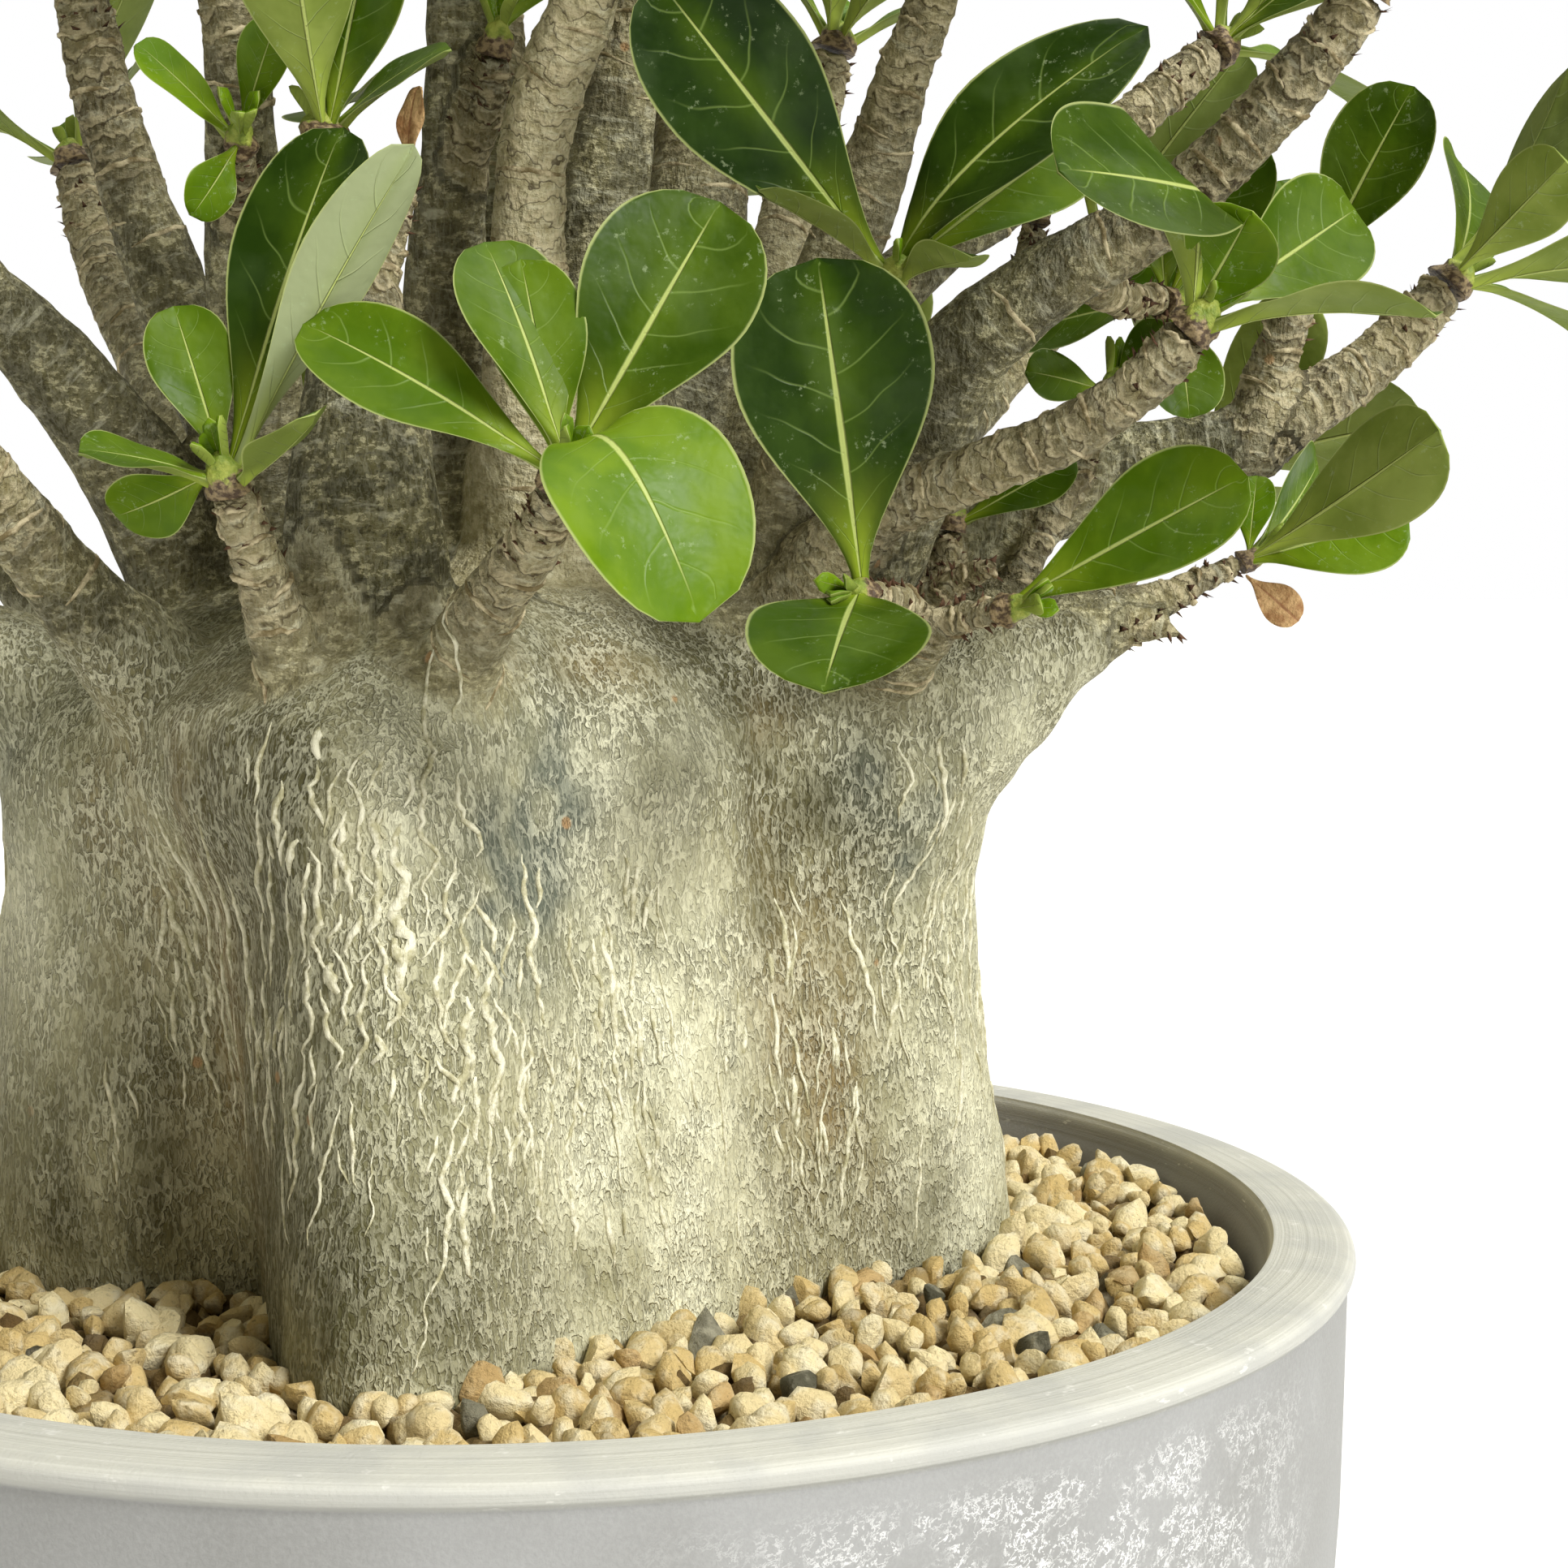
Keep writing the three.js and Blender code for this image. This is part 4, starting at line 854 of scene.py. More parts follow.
def bark_material():
    """Cream and olive bark with fine wavy upright threads, browner and ringed on the limbs; its patches carry
    painted light and shade, and painted shade darkens its grooves, folds and crown.
    """
    n = Nodes("bark")
    even = n.place()
    young = n.attribute("young")
    rings = n.attribute("rings")
    on_limb = n.span(young, *LIMB_FROM)
    x, y, z = n.axes(even)
    flecks = n.noise(n.place((1, 1, 1.7)), 0.45, 4, 0.7)
    ground = n.paint(
        n.shade(n.noise(n.place((1, 1, 0.7)), 0.035, 3, 0.6), 0.36, 0.62, *BARK_GROUND),
        # patches: the bark's own mottling, and at the front painted light and shade
        *((n.attribute(name) * 0.94, color) for name, color in PATCH_TONES_AND_PAINTED_LIGHT.items()),
        # darker towards the top: own browner bark, and painted shade under the branches and leaves
        (n.span(z, 174, 198, 0, 0.36), CROWN_BARK_AND_PAINTED_SHADE),
        (on_limb, limb_tones(n, even, flecks, young)),
    )
    pale = n.mix(0.66, ground, THREAD_PALE)
    # deep: painted shade for the grooves beside the threads, the low parts of the folds and swirls, and the
    # low limb bands
    deep = n.mix(0.72, ground, GROOVE_PAINTED_SHADE)

    tall = n.warped(n.place((1, 1, 0.36)), 0.45, 0.6)
    fine_swirl = n.noise(tall, 1.5, 2, 0.5)
    off = n.size(n.noise(tall, 0.68, 2, 0.5) - 0.5)
    folds = n.noise(n.place((1, 1, 0.35)), 0.3, 3, 0.6)
    dark_part = n.math("MAXIMUM", n.attribute("olive"), n.attribute("slate"))
    dense = n.span(n.noise(even, 0.1, 3), 0.36, 0.6, 0.45, 1.0)
    upright = (1.0 - on_limb * 0.8) * dense * (1.0 - dark_part * 0.35)
    thread = n.span(off, 0.075, 0.035) * upright
    groove = n.span(off, 0.06, 0.09) * n.span(off, 0.17, 0.11) * upright
    fine = n.span(n.size(fine_swirl - 0.5), 0.09, 0.03) * upright

    bands = n.noise(n.stack(x * 0.3, y * 0.3, rings), 0.6, 3, 0.65)
    tooth = n.math("FRACT", rings * RING_RATE + (n.noise(even, 0.26, 2) - 0.5) * 2.4)
    worn = n.span(young, 0.6, 0.9) * n.span(n.noise(even, 0.22, 2), 0.32, 0.5)
    lip = n.span(tooth, 0.42, 0.7) * n.span(tooth, 0.88, 0.8)
    knots, _ = n.cells(0.075)
    low = n.span(z, 150, 100)
    color = n.paint(
        ground,
        (fine * (0.45 - low * 0.13), pale),
        (groove * (0.4 - low * 0.14), deep),
        (n.span(fine_swirl, 0.37, 0.27) * (0.5 - low * 0.2), deep),
        (n.span(folds, 0.40, 0.30, 0, 0.4), deep),
        (thread * (0.68 - low * 0.18), pale),
        (n.span(bands, 0.54, 0.68) * on_limb * 0.4, pale),
        (n.span(bands, 0.44, 0.3) * on_limb * 0.5, deep),
        (lip * worn * 0.6, RING_LIP),
        (n.span(tooth, 0.86, 0.97) * worn * 0.75, RING_CREASE),
        (n.span(knots, 0.085, 0.05) * n.span(n.noise(even, 0.03, 2), 0.5, 0.56) * 0.8, KNOT),
    )
    height = thread * 0.35 + fine * 0.2 - groove * 0.15 + fine_swirl * 0.4 + folds * 1.2
    height += bands * on_limb * 0.7 + flecks * on_limb * 1.1 + tooth * worn * 0.7
    return n.finish(color, n.span(fine_swirl, 0.3, 0.7, 0.6, 0.8), n.bump(height, 1.0), 0.22)


def ridge_material():
    """Cream cork of the raised cracks, with painted shade down their sides."""
    n = Nodes("bark_ridges")
    color = n.shade(n.noise(n.place(), 0.4, 4, 0.65), 0.36, 0.6, *CRACK_CORK)
    # painted shade down each crack's sides, where its shade number is high
    color = n.mix(n.attribute("shade") * 0.75, color, CRACK_SIDE_SHADE)
    return n.finish(color, 0.75, n.bump(n.noise(n.place((1, 1, 0.5)), 1.8, 4, 0.6), 0.5), 0.25)


def scar_material():
    """Tan rims of the leaf scars with painted shade on their undersides, and brown remains of stalks."""
    n = Nodes("leaf_scars")
    shade = n.attribute("shade")
    color = n.paint(
        n.shade(n.noise(n.place(), 0.35, 4, 0.6), 0.38, 0.62, *SCAR_RIM),
        # painted shade under each rim
        (n.span(shade, 0.2, 1.0, 0, 0.75), SCAR_UNDERSIDE_SHADE),
        (n.span(shade, 1.4, 1.9, 0, 0.9), STALK_BROWN),
    )
    return n.finish(color, 0.75, n.bump(n.noise(n.place(), 1.8, 4, 0.6), 0.4), 0.25)


def vein_lines(n, across, along):
    """The side veins: thin lines that leave the midrib in turn and bend towards the tip."""
    reach = n.size(across)
    wobble = (n.noise(n.place(), 0.1, 1) - 0.5) * 0.1
    phase = (along + wobble - n.math("POWER", reach, 1.35) * 0.2) * VEIN_PAIRS
    phase += n.math("SIGN", across) * 0.23
    saw = n.size(n.math("FRACT", phase) - 0.5)
    return n.span(saw, 0.045, 0.0) * n.span(reach, 0.9, 0.35)


def leaf_material(name, upper):
    """A smooth blade with a pale midrib, faint side veins, a painted highlight along its margin and patches
    of painted sheen.
    """
    n = Nodes(name)
    across = n.attribute("across")
    along = n.attribute("along")
    age = n.attribute("age")
    reach = n.size(across)
    rib_width = 0.016 + n.math("POWER", 1.0 - along, 2) * 0.10
    midrib = n.span(reach / rib_width, 1.3, 0.5) * n.span(along, 1.0, 0.8)
    veins = vein_lines(n, across, along)
    patch = n.noise(n.place(), 0.09, 4, 0.55)
    tones = UPPER_TONES if upper else UNDER_TONES
    light = n.shade(patch, 0.36, 0.64, *tones["young"])
    dark = n.shade(patch, 0.36, 0.64, *tones["old"])
    if not upper:
        dark = n.mix(n.span(age, 0.86, 0.97), dark, UNDER_FADED)
    dust = n.span(n.noise(n.place(), 0.7, 4, 0.75), 0.58, 0.68)
    dust *= n.span(n.noise(n.place(), 0.12, 2), 0.46, 0.6)
    sheen = n.span(n.noise(n.place(), 0.055, 3, 0.6), 0.5, 0.62, 0, 0.1)
    color = n.paint(
        light,
        (age, dark),
        (n.span(along, 0.42, 0.02) * n.span(reach, 1.3, 0.2) * 0.85, tones["foot"]),
        (n.span(reach, 0.45, 0.0, 0, 0.2), light),
        (veins * 0.34, tones["veins"]),
        (midrib * 0.85, MIDRIB_PALE),
        # painted highlight along the margin, where the edge catches light
        (n.span(reach, 0.955, 0.985, 0, 0.7), MARGIN_HIGHLIGHT),
        (dust * 0.4, LEAF_DUST),
        (sheen * n.span(along, 0.3, 0.7), LEAF_SHEEN),
    )
    height = veins * (-0.12 if upper else 0.2) + midrib * (-0.4 if upper else 0.8)
    height += patch + n.noise(n.place(), 0.22, 2) * 0.5
    rough = (0.32, 0.48) if upper else (0.5, 0.62)
    return n.finish(color, n.span(patch, 0.3, 0.7, *rough), n.bump(height, 0.5), 0.12 if upper else 0.08)


def bud_material():
    """The tip that carries the leaves: brown and scarred at its foot, fresh green above."""
    n = Nodes("bud")
    patch = n.noise(n.place(), 0.45, 4, 0.6)
    brown = n.shade(n.noise(n.place((1, 1, 1.6)), 0.8, 4), 0.4, 0.6, *BUD_BROWN)
    edge = n.attribute("along") + (patch - 0.5) * 0.9
    color = n.mix(n.span(edge, 0.42, 0.55), brown, n.shade(patch, 0.35, 0.65, *BUD_GREEN))
    return n.finish(color, 0.6, n.bump(n.noise(n.place(), 1.2, 3), 0.5))


def dry_leaf_material():
    """Withered brown blade."""
    n = Nodes("dry_leaf")
    color = n.shade(n.noise(n.place(), 0.3, 5, 0.65), 0.35, 0.65, *DRY_BROWN)
    rib = n.span(n.size(n.attribute("across")), 0.12, 0.03)
    color = n.mix(rib * 0.7, color, DRY_RIB)
    return n.finish(color, 0.7, n.bump(n.noise(n.place(), 1.1, 4), 0.6))


def stone_material(name, low, high, spot):
    """Porous grains, each a little different, with painted shade on those of the lower layer, where they lie
    deep between the others.
    """
    n = Nodes(name)
    tint = n.attribute("tint")
    pores = n.noise(n.place(), 1.0, 5, 0.7)
    broad = n.noise(n.place(), 0.3, 3, 0.5)
    color = n.paint(
        n.shade(tint, 0.05, 0.95, low, high),
        (n.span(broad, 0.45, 0.7, 0, 0.6), spot),
        (n.span(pores, 0.44, 0.3, 0, 0.6), tuple(c * 0.35 for c in low)),
        # painted shade on the lower layer's grains, whose tint is below 0
        (n.span(tint, 0.0, -0.8, 0, 0.88), LOWER_GRAIN_SHADE),
    )
    return n.finish(color, 0.88, n.bump(pores + broad * 1.5, 1.0), 0.2)


def root_mix_material():
    """Damp grit under the gravel."""
    n = Nodes("root_mix")
    distance, grit = n.cells(0.3)
    color = n.shade(n.noise(n.place(), 0.2, 4, 0.6), 0.4, 0.6, *ROOT_GRIT)
    color = n.mix(0.25, color, grit, "OVERLAY")
    return n.finish(color, 0.9, n.bump(distance, 2.0))


def scuff_strength(n, x, y, z, radius):
    """White scratches and chips on the pot's wall, thickest round one place."""
    bent = n.warped(n.stack(x * 0.75 + z * 0.4, y, z - x * 0.55), 0.35, 1.2)
    strokes = n.span(n.size(n.noise(bent, 0.42, 4, 0.7) - 0.5), 0.035, 0.0)
    chips = n.span(n.noise(bent, 0.8, 3, 0.75), 0.58, 0.63)
    offset = n.stack(x - SCUFF_AT[0], y - SCUFF_AT[1], (z - SCUFF_AT[2]) * 1.9)
    near = n.span(n.length(offset), SCUFF_REACH, SCUFF_REACH * 0.3)
    worn = n.span(n.noise(n.place(), 0.024, 3, 0.55), 0.48, 0.64, 0, 0.7)
    area = n.math("MAXIMUM", near, worn * n.span(z, POT_HEIGHT - 8, 66))
    area *= n.span(radius, RIM_INNER_RADIUS + 5, RIM_INNER_RADIUS + 9)
    area *= n.span(z, POT_HEIGHT - 6.5, POT_HEIGHT - 12) * n.span(n.noise(bent, 0.12, 3, 0.65), 0.40, 0.56)
    return n.math("MAXIMUM", strokes, chips) * area


def stoneware_material():
    """Cool grey matt clay: a paler rim with fine turning lines and painted shade on the lip's outer side, and
    white scuffs on the wall.
    """
    n = Nodes("stoneware")
    x, y, z = n.axes(n.place())
    radius = n.math("SQRT", x * x + y * y)
    lathe = radius + n.noise(n.place((0.3, 0.3, 1)), 0.05, 2) * 2.2
    lines = n.noise(n.stack(lathe, 0.0, z), 1.1, 4, 0.7)
    on_top = n.span(z, POT_HEIGHT - 4.9, POT_HEIGHT - 3.7)
    # the lip's outer side, which gets painted shade
    edge = n.span(z, POT_HEIGHT - 1.2, POT_HEIGHT - 2.4) * on_top
    inner = n.span(radius, RIM_INNER_RADIUS + 0.5, RIM_INNER_RADIUS - 0.8)
    inner *= n.span(z, POT_HEIGHT - 0.4, POT_HEIGHT - 2.2)
    broad = n.noise(n.place(), 0.02, 2, 0.55)
    fine = n.noise(n.place(), 1.5, 4, 0.6)
    blotch = n.noise(n.place(), 0.06, 3, 0.6)
    specks = n.span(n.noise(n.place((1, 1, 3)), 0.2, 3, 0.7), 0.63, 0.7)
    rim = n.mix(n.span(blotch, 0.4, 0.65, 0, 0.5), n.shade(lines, 0.3, 0.7, *RIM_CLAY), RIM_BLOTCH)
    color = n.paint(
        n.shade(broad, 0.35, 0.65, *CLAY),
        (n.span(fine, 0.35, 0.7, 0, 0.15), CLAY_FLECKS),
        (on_top, rim),
        # painted shade on the lip's outer side
        (edge * 0.6, LIP_SIDE_SHADE),
        (scuff_strength(n, x, y, z, radius) * 0.85, SCUFF_WHITE),
        (inner, INNER_CLAY),
        (specks * 0.5 * on_top, RIM_SPECKS),
    )
    height = lines * on_top * 0.25 + fine * 0.12
    return n.finish(color, n.span(broad, 0.3, 0.7, 0.5, 0.65), n.bump(height, 0.8), 0.3)


# Pot

def pot_profile():
    """Radius and height along the pot's outline, smooth from row to row."""
    last = len(POT_OUTLINE) - 1
    points = [Vector((radius, height, 0)) for radius, height, _ in POT_OUTLINE]
    profile = []
    for k, (radius, height, between) in enumerate(POT_OUTLINE):
        profile.append([radius, height])
        for s in range(1, between + 1):
            p = curve_point(points, (k + s / (between + 1)) / last)
            profile.append([p.x, p.y])
    return profile


def drain_cutter():
    """Upright rods where the drain holes are."""
    rods = bmesh.new()
    for a in circle_angles(DRAIN_COUNT):
        at = Matrix.Translation((DRAIN_CIRCLE * MM * math.cos(a), DRAIN_CIRCLE * MM * math.sin(a), 0))
        bmesh.ops.create_cone(rods, cap_ends=True, segments=DRAIN_SIDES, radius1=DRAIN_RADIUS * MM,
                              radius2=DRAIN_RADIUS * MM, depth=POT_FLOOR * 4 * MM, matrix=at)
    mesh = bpy.data.meshes.new("drain_cutter")
    rods.to_mesh(mesh)
    rods.free()
    return linked("drain_cutter", mesh)


def make_pot(material):
    """The pot turned smooth, with its drain holes cut through."""
    rings = [[[r * math.cos(a), r * math.sin(a), z] for a in circle_angles(POT_SIDES)]
             for r, z in pot_profile()[1:-1]]
    pot = mesh_object("pot_fine", *closed_body(rings, [0, 0, 0], [0, 0, POT_FLOOR]))
    cutter = drain_cutter()
    cut = pot.modifiers.new("drains", "BOOLEAN")
    cut.operation = "DIFFERENCE"
    cut.object = cutter
    cut.solver = "EXACT"
    applied(pot)
    bpy.data.objects.remove(cutter)
    shade_smooth(pot.data)
    pot.data.set_sharp_from_angle(angle=math.radians(POT_EDGE))
    finish_piece(pot, material, "stoneware", "pot")


# Wood

def caudex_ring(z):
    """The caudex's outline at a height."""
    ring = []
    for degrees in range(0, 360, CAUDEX_STEP):
        r = caudex_radius(degrees, z)
        a = math.radians(degrees)
        ring.append([r * math.cos(a), r * math.sin(a), z])
    return ring


def limb_tube(rows):
    """A round tube along a branch."""
    run = samples(rows, (len(rows) - 1) * LIMB_STEPS)
    side = Vector((1, 0, 0))
    rings = []
    for at, along, radius in run:
        side = (side - along * side.dot(along)).normalized()
        other = along.cross(side)
        rings.append([at + side * (radius * math.cos(a)) + other * (radius * math.sin(a))
                      for a in circle_angles(LIMB_SIDES)])
    return closed_body(rings, run[0][0], run[-1][0])


def joined_wood():
    """Caudex and limbs as one skin, softened where they meet."""
    pile = Pile()
    heights = [*range(CAUDEX_FOOT, CAUDEX_TOP, 3), CAUDEX_TOP]
    rings = [caudex_ring(z) for z in heights]
    pile.add(*closed_body(rings, [0, 0, CAUDEX_FOOT - 1], [0, 0, CAUDEX_TOP + 1]))
    for rows in LIMBS.values():
        pile.add(*limb_tube(rows))
    wood = pile.make("bark_fine")
    join = wood.modifiers.new("join", "REMESH")
    join.mode = "VOXEL"
    join.voxel_size = BARK_VOXEL * MM
    join.use_smooth_shade = True
    soften = wood.modifiers.new("soften", "SMOOTH")
    soften.factor = 0.5
    soften.iterations = 6
    return applied(wood)


def skeleton():
    """Places along every limb: direction, radius, distance from the tip, and the limb's looks."""
    rows = []
    for name, limb in LIMBS.items():
        if name == "core":
            continue
        run = samples(limb, 40)
        total = run_length(run)
        walked = 0.0
        for i, (at, along, radius) in enumerate(run):
            if i:
                walked += (at - run[i - 1][0]).length
            rows.append((at, along, radius, total - walked, *LIMB_LOOKS.get(name, PLAIN_LIMB)))
    return rows


def growth(spots):
    """How young the wood is at each spot, how far it lies from its tip, and how pale it is."""
    rows = skeleton()
    tree = KDTree(len(rows))
    for i, row in enumerate(rows):
        tree.insert(row[0], i)
    tree.balance()
    found = np.zeros((3, len(spots)))
    for i, spot in enumerate(spots):
        _, index, distance = tree.find(spot)
        at, along, radius, left, pale, scarred = rows[index]
        reach = left + (Vector(spot) - at).dot(-along)
        share = 1 - clamp((distance - radius * 1.25) / (radius * 0.9))
        crown = clamp((spot[2] - CROWN_FROM) / CROWN_OVER)
        fresh = clamp(1.4 - reach / scarred)
        found[:, i] = share * (0.45 * crown + 0.55 * fresh) + (1 - share) * 0.3 * crown, reach, pale
    return found


def noise3(points, scale, seed):
    """Smooth value noise from -1 to 1 at many points."""
    p = points * scale + seed * 17.31
    cell = np.floor(p).astype(np.int64)
    f = p - cell
    f = f * f * (3 - 2 * f)
    total = np.zeros(len(p))
    for corner in itertools.product((0, 1), repeat=3):
        h = (cell + corner) @ np.array([374761393, 668265263, 2147483647])
        h = (h ^ (h >> 13)) * 1274126177
        value = ((h ^ (h >> 16)) & 0xFFFF) / 32767.5 - 1
        for axis, far in enumerate(corner):
            value = value * (f[:, axis] if far else 1 - f[:, axis])
        total += value
    return total


def bark_relief(spots, young, rings):
    """How far the bark stands out: folds of three sizes, and saw-like rings on young wood."""
    teeth = np.mod(rings * RING_RATE + noise3(spots, 0.26, 9) * 0.6, 1.0)
    relief = np.zeros(len(spots))
    for seed, (flat, size, depth) in enumerate(BARK_FOLDS):
        relief += noise3(spots * [1, 1, flat], 1 / size, seed + 1) * depth
    relief *= np.clip(1 - 0.7 * young, 0.3, 1)
    relief += noise3(spots, 1 / 3.4, 5) * 0.28 * np.clip(young * 3, 0, 1)
    return relief + teeth * np.clip(young * 2 - 1, 0, 1) * 0.45 - 0.45


def patch_strengths(spots, rows, jitter):
    """How strongly a kind of colour patch shows at each point of the bark."""
    degrees = np.degrees(np.arctan2(spots[:, 1], spots[:, 0]))
    total = np.zeros(len(spots))
    for angle, height, width, tall, strength in rows:
        off = turn_from(angle, degrees)
        total += strength * np.exp(-((off / width) ** 2) - ((spots[:, 2] - height) / tall) ** 2)
    return np.clip(total * (1 + 0.9 * jitter), 0, 1)


def cut_buried(mesh):
    """Takes away the wood that the gravel hides, and closes the cut."""
    shell = bmesh.new()
    shell.from_mesh(mesh)
    low = [f for f in shell.faces if f.calc_center_median().z < BURIED_BELOW * MM]
    bmesh.ops.delete(shell, geom=low, context="FACES")
    bmesh.ops.holes_fill(shell, edges=[e for e in shell.edges if e.is_boundary], sides=0)
    shell.to_mesh(mesh)
    shell.free()
    mesh.update()


def height_slice(mesh, name, low, high):
    """The faces of a mesh between two heights, with the whole skin's normals at their edges."""
    part = bmesh.new()
    part.from_mesh(mesh)
    away = [f for f in part.faces if not low * MM <= f.calc_center_median().z < high * MM]
    bmesh.ops.delete(part, geom=away, context="FACES")
    piece = bpy.data.meshes.new(name)
    part.to_mesh(piece)
    part.free()
    shade_smooth(piece)
    kept = read_vectors(piece.attributes["whole"].data, "vector")
    piece.normals_split_custom_set_from_vertices(kept.tolist())
    piece.attributes.remove(piece.attributes["whole"])
    return linked(name, piece)


def make_bark(material):
    """One skin over caudex and limbs with its relief, cut into pieces by height."""
    wood = joined_wood()
    mesh = wood.data
    spots = read_vectors(mesh.vertices, "co") / MM
    young, rings, pale = growth(spots)
    relief = bark_relief(spots, young, rings)
    moved = spots + read_vectors(mesh.vertices, "normal") * relief[:, None]
    mesh.vertices.foreach_set("co", (moved * MM).ravel())
    for name, values in (("young", young), ("rings", rings), ("pale", pale)):
        set_attribute(wood, name, values)
    # Strengths of the colour patches, partly painted light and shade
    for k, (name, patches) in enumerate(PATCHES_AND_PAINTED_LIGHT.items()):
        jitter = noise3(spots * [1, 1, 0.6], 1 / 9, 20 + k) + 0.5 * noise3(spots, 1 / 3.5, 30 + k)
        on_caudex = 1 - np.clip(young * 2, 0, 1)
        set_attribute(wood, name, patch_strengths(spots, patches, jitter) * on_caudex)
    cut_buried(mesh)
    keep = mesh.attributes.new("whole", "FLOAT_VECTOR", "POINT")
    keep.data.foreach_set("vector", read_vectors(mesh.vertices, "normal").ravel())
    levels = [-math.inf, *BARK_CUTS, math.inf]
    for k in range(len(levels) - 1):
        piece = height_slice(mesh, f"bark_{k + 1}", levels[k], levels[k + 1])
        finish_piece(piece, material, "bark", "caudex_and_branches")
    return wood


def surface_tree(obj):
    """A search tree over a mesh's faces, in metres."""
    corners = [v.co.copy() for v in obj.data.vertices]
    return BVHTree.FromPolygons(corners, [tuple(p.vertices) for p in obj.data.polygons])


# Bark cracks

def ridge_path(tree, degrees, z, length, size, random):
    """Places and normals along a kinked line up the bark."""
    steps = max(int(length), 4)
    beat = 4.5 + 5 * random()
    phase = random() * ONE_TURN
    drift = (random() - 0.5) * 0.5
    path = []
    for s in range(steps + 1):
        h = z + length * s / steps
        kink = abs(((h / beat + phase) % 2) - 1) - 0.5
        swing = (kink * 1.3 + math.sin(phase * 3 + h * 0.9) * 0.35 + (random() - 0.5) * 0.5) * size
        a = math.radians(degrees) + (swing + drift * (h - z)) / RIDGE_RADIUS
        out = Vector((math.cos(a), math.sin(a), 0))
        spot, normal, _, _ = tree.ray_cast(Vector((0, 0, h * MM)) + out * (RIDGE_LOOK * MM), -out)
        if spot is None or normal.z > RIDGE_STEEP or math.hypot(*spot.xy) > RIDGE_REACH * MM:
            break
        path.append((spot / MM, normal))
    return path


def ridge_ribbon(path, width, height, random):
    """A raised ribbon with a rough top along a path: points, faces and how shaded each point is."""
    points, shades = [], []
    for s, (at, normal) in enumerate(path):
        side = heading_at(path, s).cross(normal).normalized()
        taper = math.sin(math.pi * clamp((s + 0.3) / (len(path) - 0.4))) ** 0.55
        left = width * taper * (0.55 + 0.9 * random())
        right = width * taper * (0.55 + 0.9 * random())
        top = height * taper * (0.75 + 0.5 * random())
        sink = normal * RIM_SINK
        points += [
            at - side * left - sink, at - side * left * 0.85 + normal * top * 0.9,
            at + side * right * 0.8 + normal * top, at + side * right - sink,
        ]
        shades += [1, 0.1 * random(), 0.1 * random(), 1]
    return points, ribbon_faces(len(path)), shades


def make_ridges(bark, material):
    """Raised bark cracks that run up the caudex. A crack ends where it meets another."""
    tree = surface_tree(bark)
    random = random_from(RIDGE_SEED)
    pile = Pile("shade")
    taken = set()

    def cell(at):
        return tuple(math.floor(c / RIDGE_APART) for c in at)

    def room(path):
        """The part of a path that lies clear of the cracks laid before."""
        kept = []
        for at, normal in path:
            if cell(at) not in taken:
                kept.append((at, normal))
            elif len(kept) >= RIDGE_LEAST - 1:
                kept.append((at, normal))
                break
            else:
                kept = []
        return kept

    def lay(path, width, height):
        path = room(path)
        if len(path) < RIDGE_LEAST:
            return
        taken.update(cell(at) for at, _ in path)
        points, faces, shades = ridge_ribbon(path, width, height, random)
        pile.add(points, faces, shade=shades)

    for angle, height, spread, tall, count, size in RIDGE_ZONES:
        for _ in range(count):
            degrees = angle + spread * (random() + random() - 1)
            z = height + tall * (random() + random() - 1)
            length = (8 + 30 * random() ** 1.4) * size
            z = clamp(z - length / 2, SOIL_LEVEL + 5, RIDGE_TOP)
            width = (0.3 + 0.5 * random() ** 2.2) * size
            path = ridge_path(tree, degrees, z, length, size, random)
            lay(path, width, 0.28 + 0.22 * random() * size)
            if random() < 0.4 and len(path) > 6:
                fork = z + length * (0.3 + 0.4 * random())
                lean = degrees + (FORK_LEAN if random() < 0.5 else -FORK_LEAN)
                lay(ridge_path(tree, lean, fork, length * 0.4, size, random), width * 0.75, 0.4)
    finish_piece(pile.make("bark_ridges"), material, "bark")


# Leaf scars

def beside_limb(tree, at, out, radius):
    """Where the bark's surface lies beside a limb, and its normal."""
    spot, normal, _, _ = tree.ray_cast((at + out * (radius * 2.2)) * MM, -out, radius * 2.2 * MM)
    if spot is None or (spot / MM - at).length > radius * 1.5 + 0.8:
        return None
    return spot / MM, normal


def scar_path(tree, at, along, radius, turn, random):
    """An arc round a limb, higher in its middle: places, normals and shares from -1 to 1."""
    arc = 0.85 + 0.6 * random()
    side = along.orthogonal().normalized()
    path = []
    for s in range(SCAR_SECTIONS + 1):
        share = s / SCAR_SECTIONS * 2 - 1
        out = Quaternion(along, turn + share * arc) @ side
        lift = (1 - share * share) * (0.8 + 0.5 * random()) - 0.5 + 0.25 * (random() - 0.5)
        found = beside_limb(tree, at + along * lift, out, radius)
        if found is None:
            break
        path.append((*found, share))
    return path


def scar_rim(path, size, height, random):
    """One crescent rim, thick in its middle: points, faces and how shaded each point is."""
    points = []
    for s, (spot, normal, share) in enumerate(path):
        across = heading_at(path, s).cross(normal).normalized()
        w = size * (1 - 0.7 * share * share)
        h = height * (1 - 0.6 * share * share) * (0.8 + 0.4 * random())
        points += [
            spot - across * w - normal * RIM_SINK, spot + normal * h - across * w * 0.35,
            spot + normal * h * 0.75 + across * w * 0.5, spot + across * w * 1.1 - normal * RIM_SINK,
        ]
    return points, ribbon_faces(len(path)), [1, 0.15, 0, 0.5] * len(path)


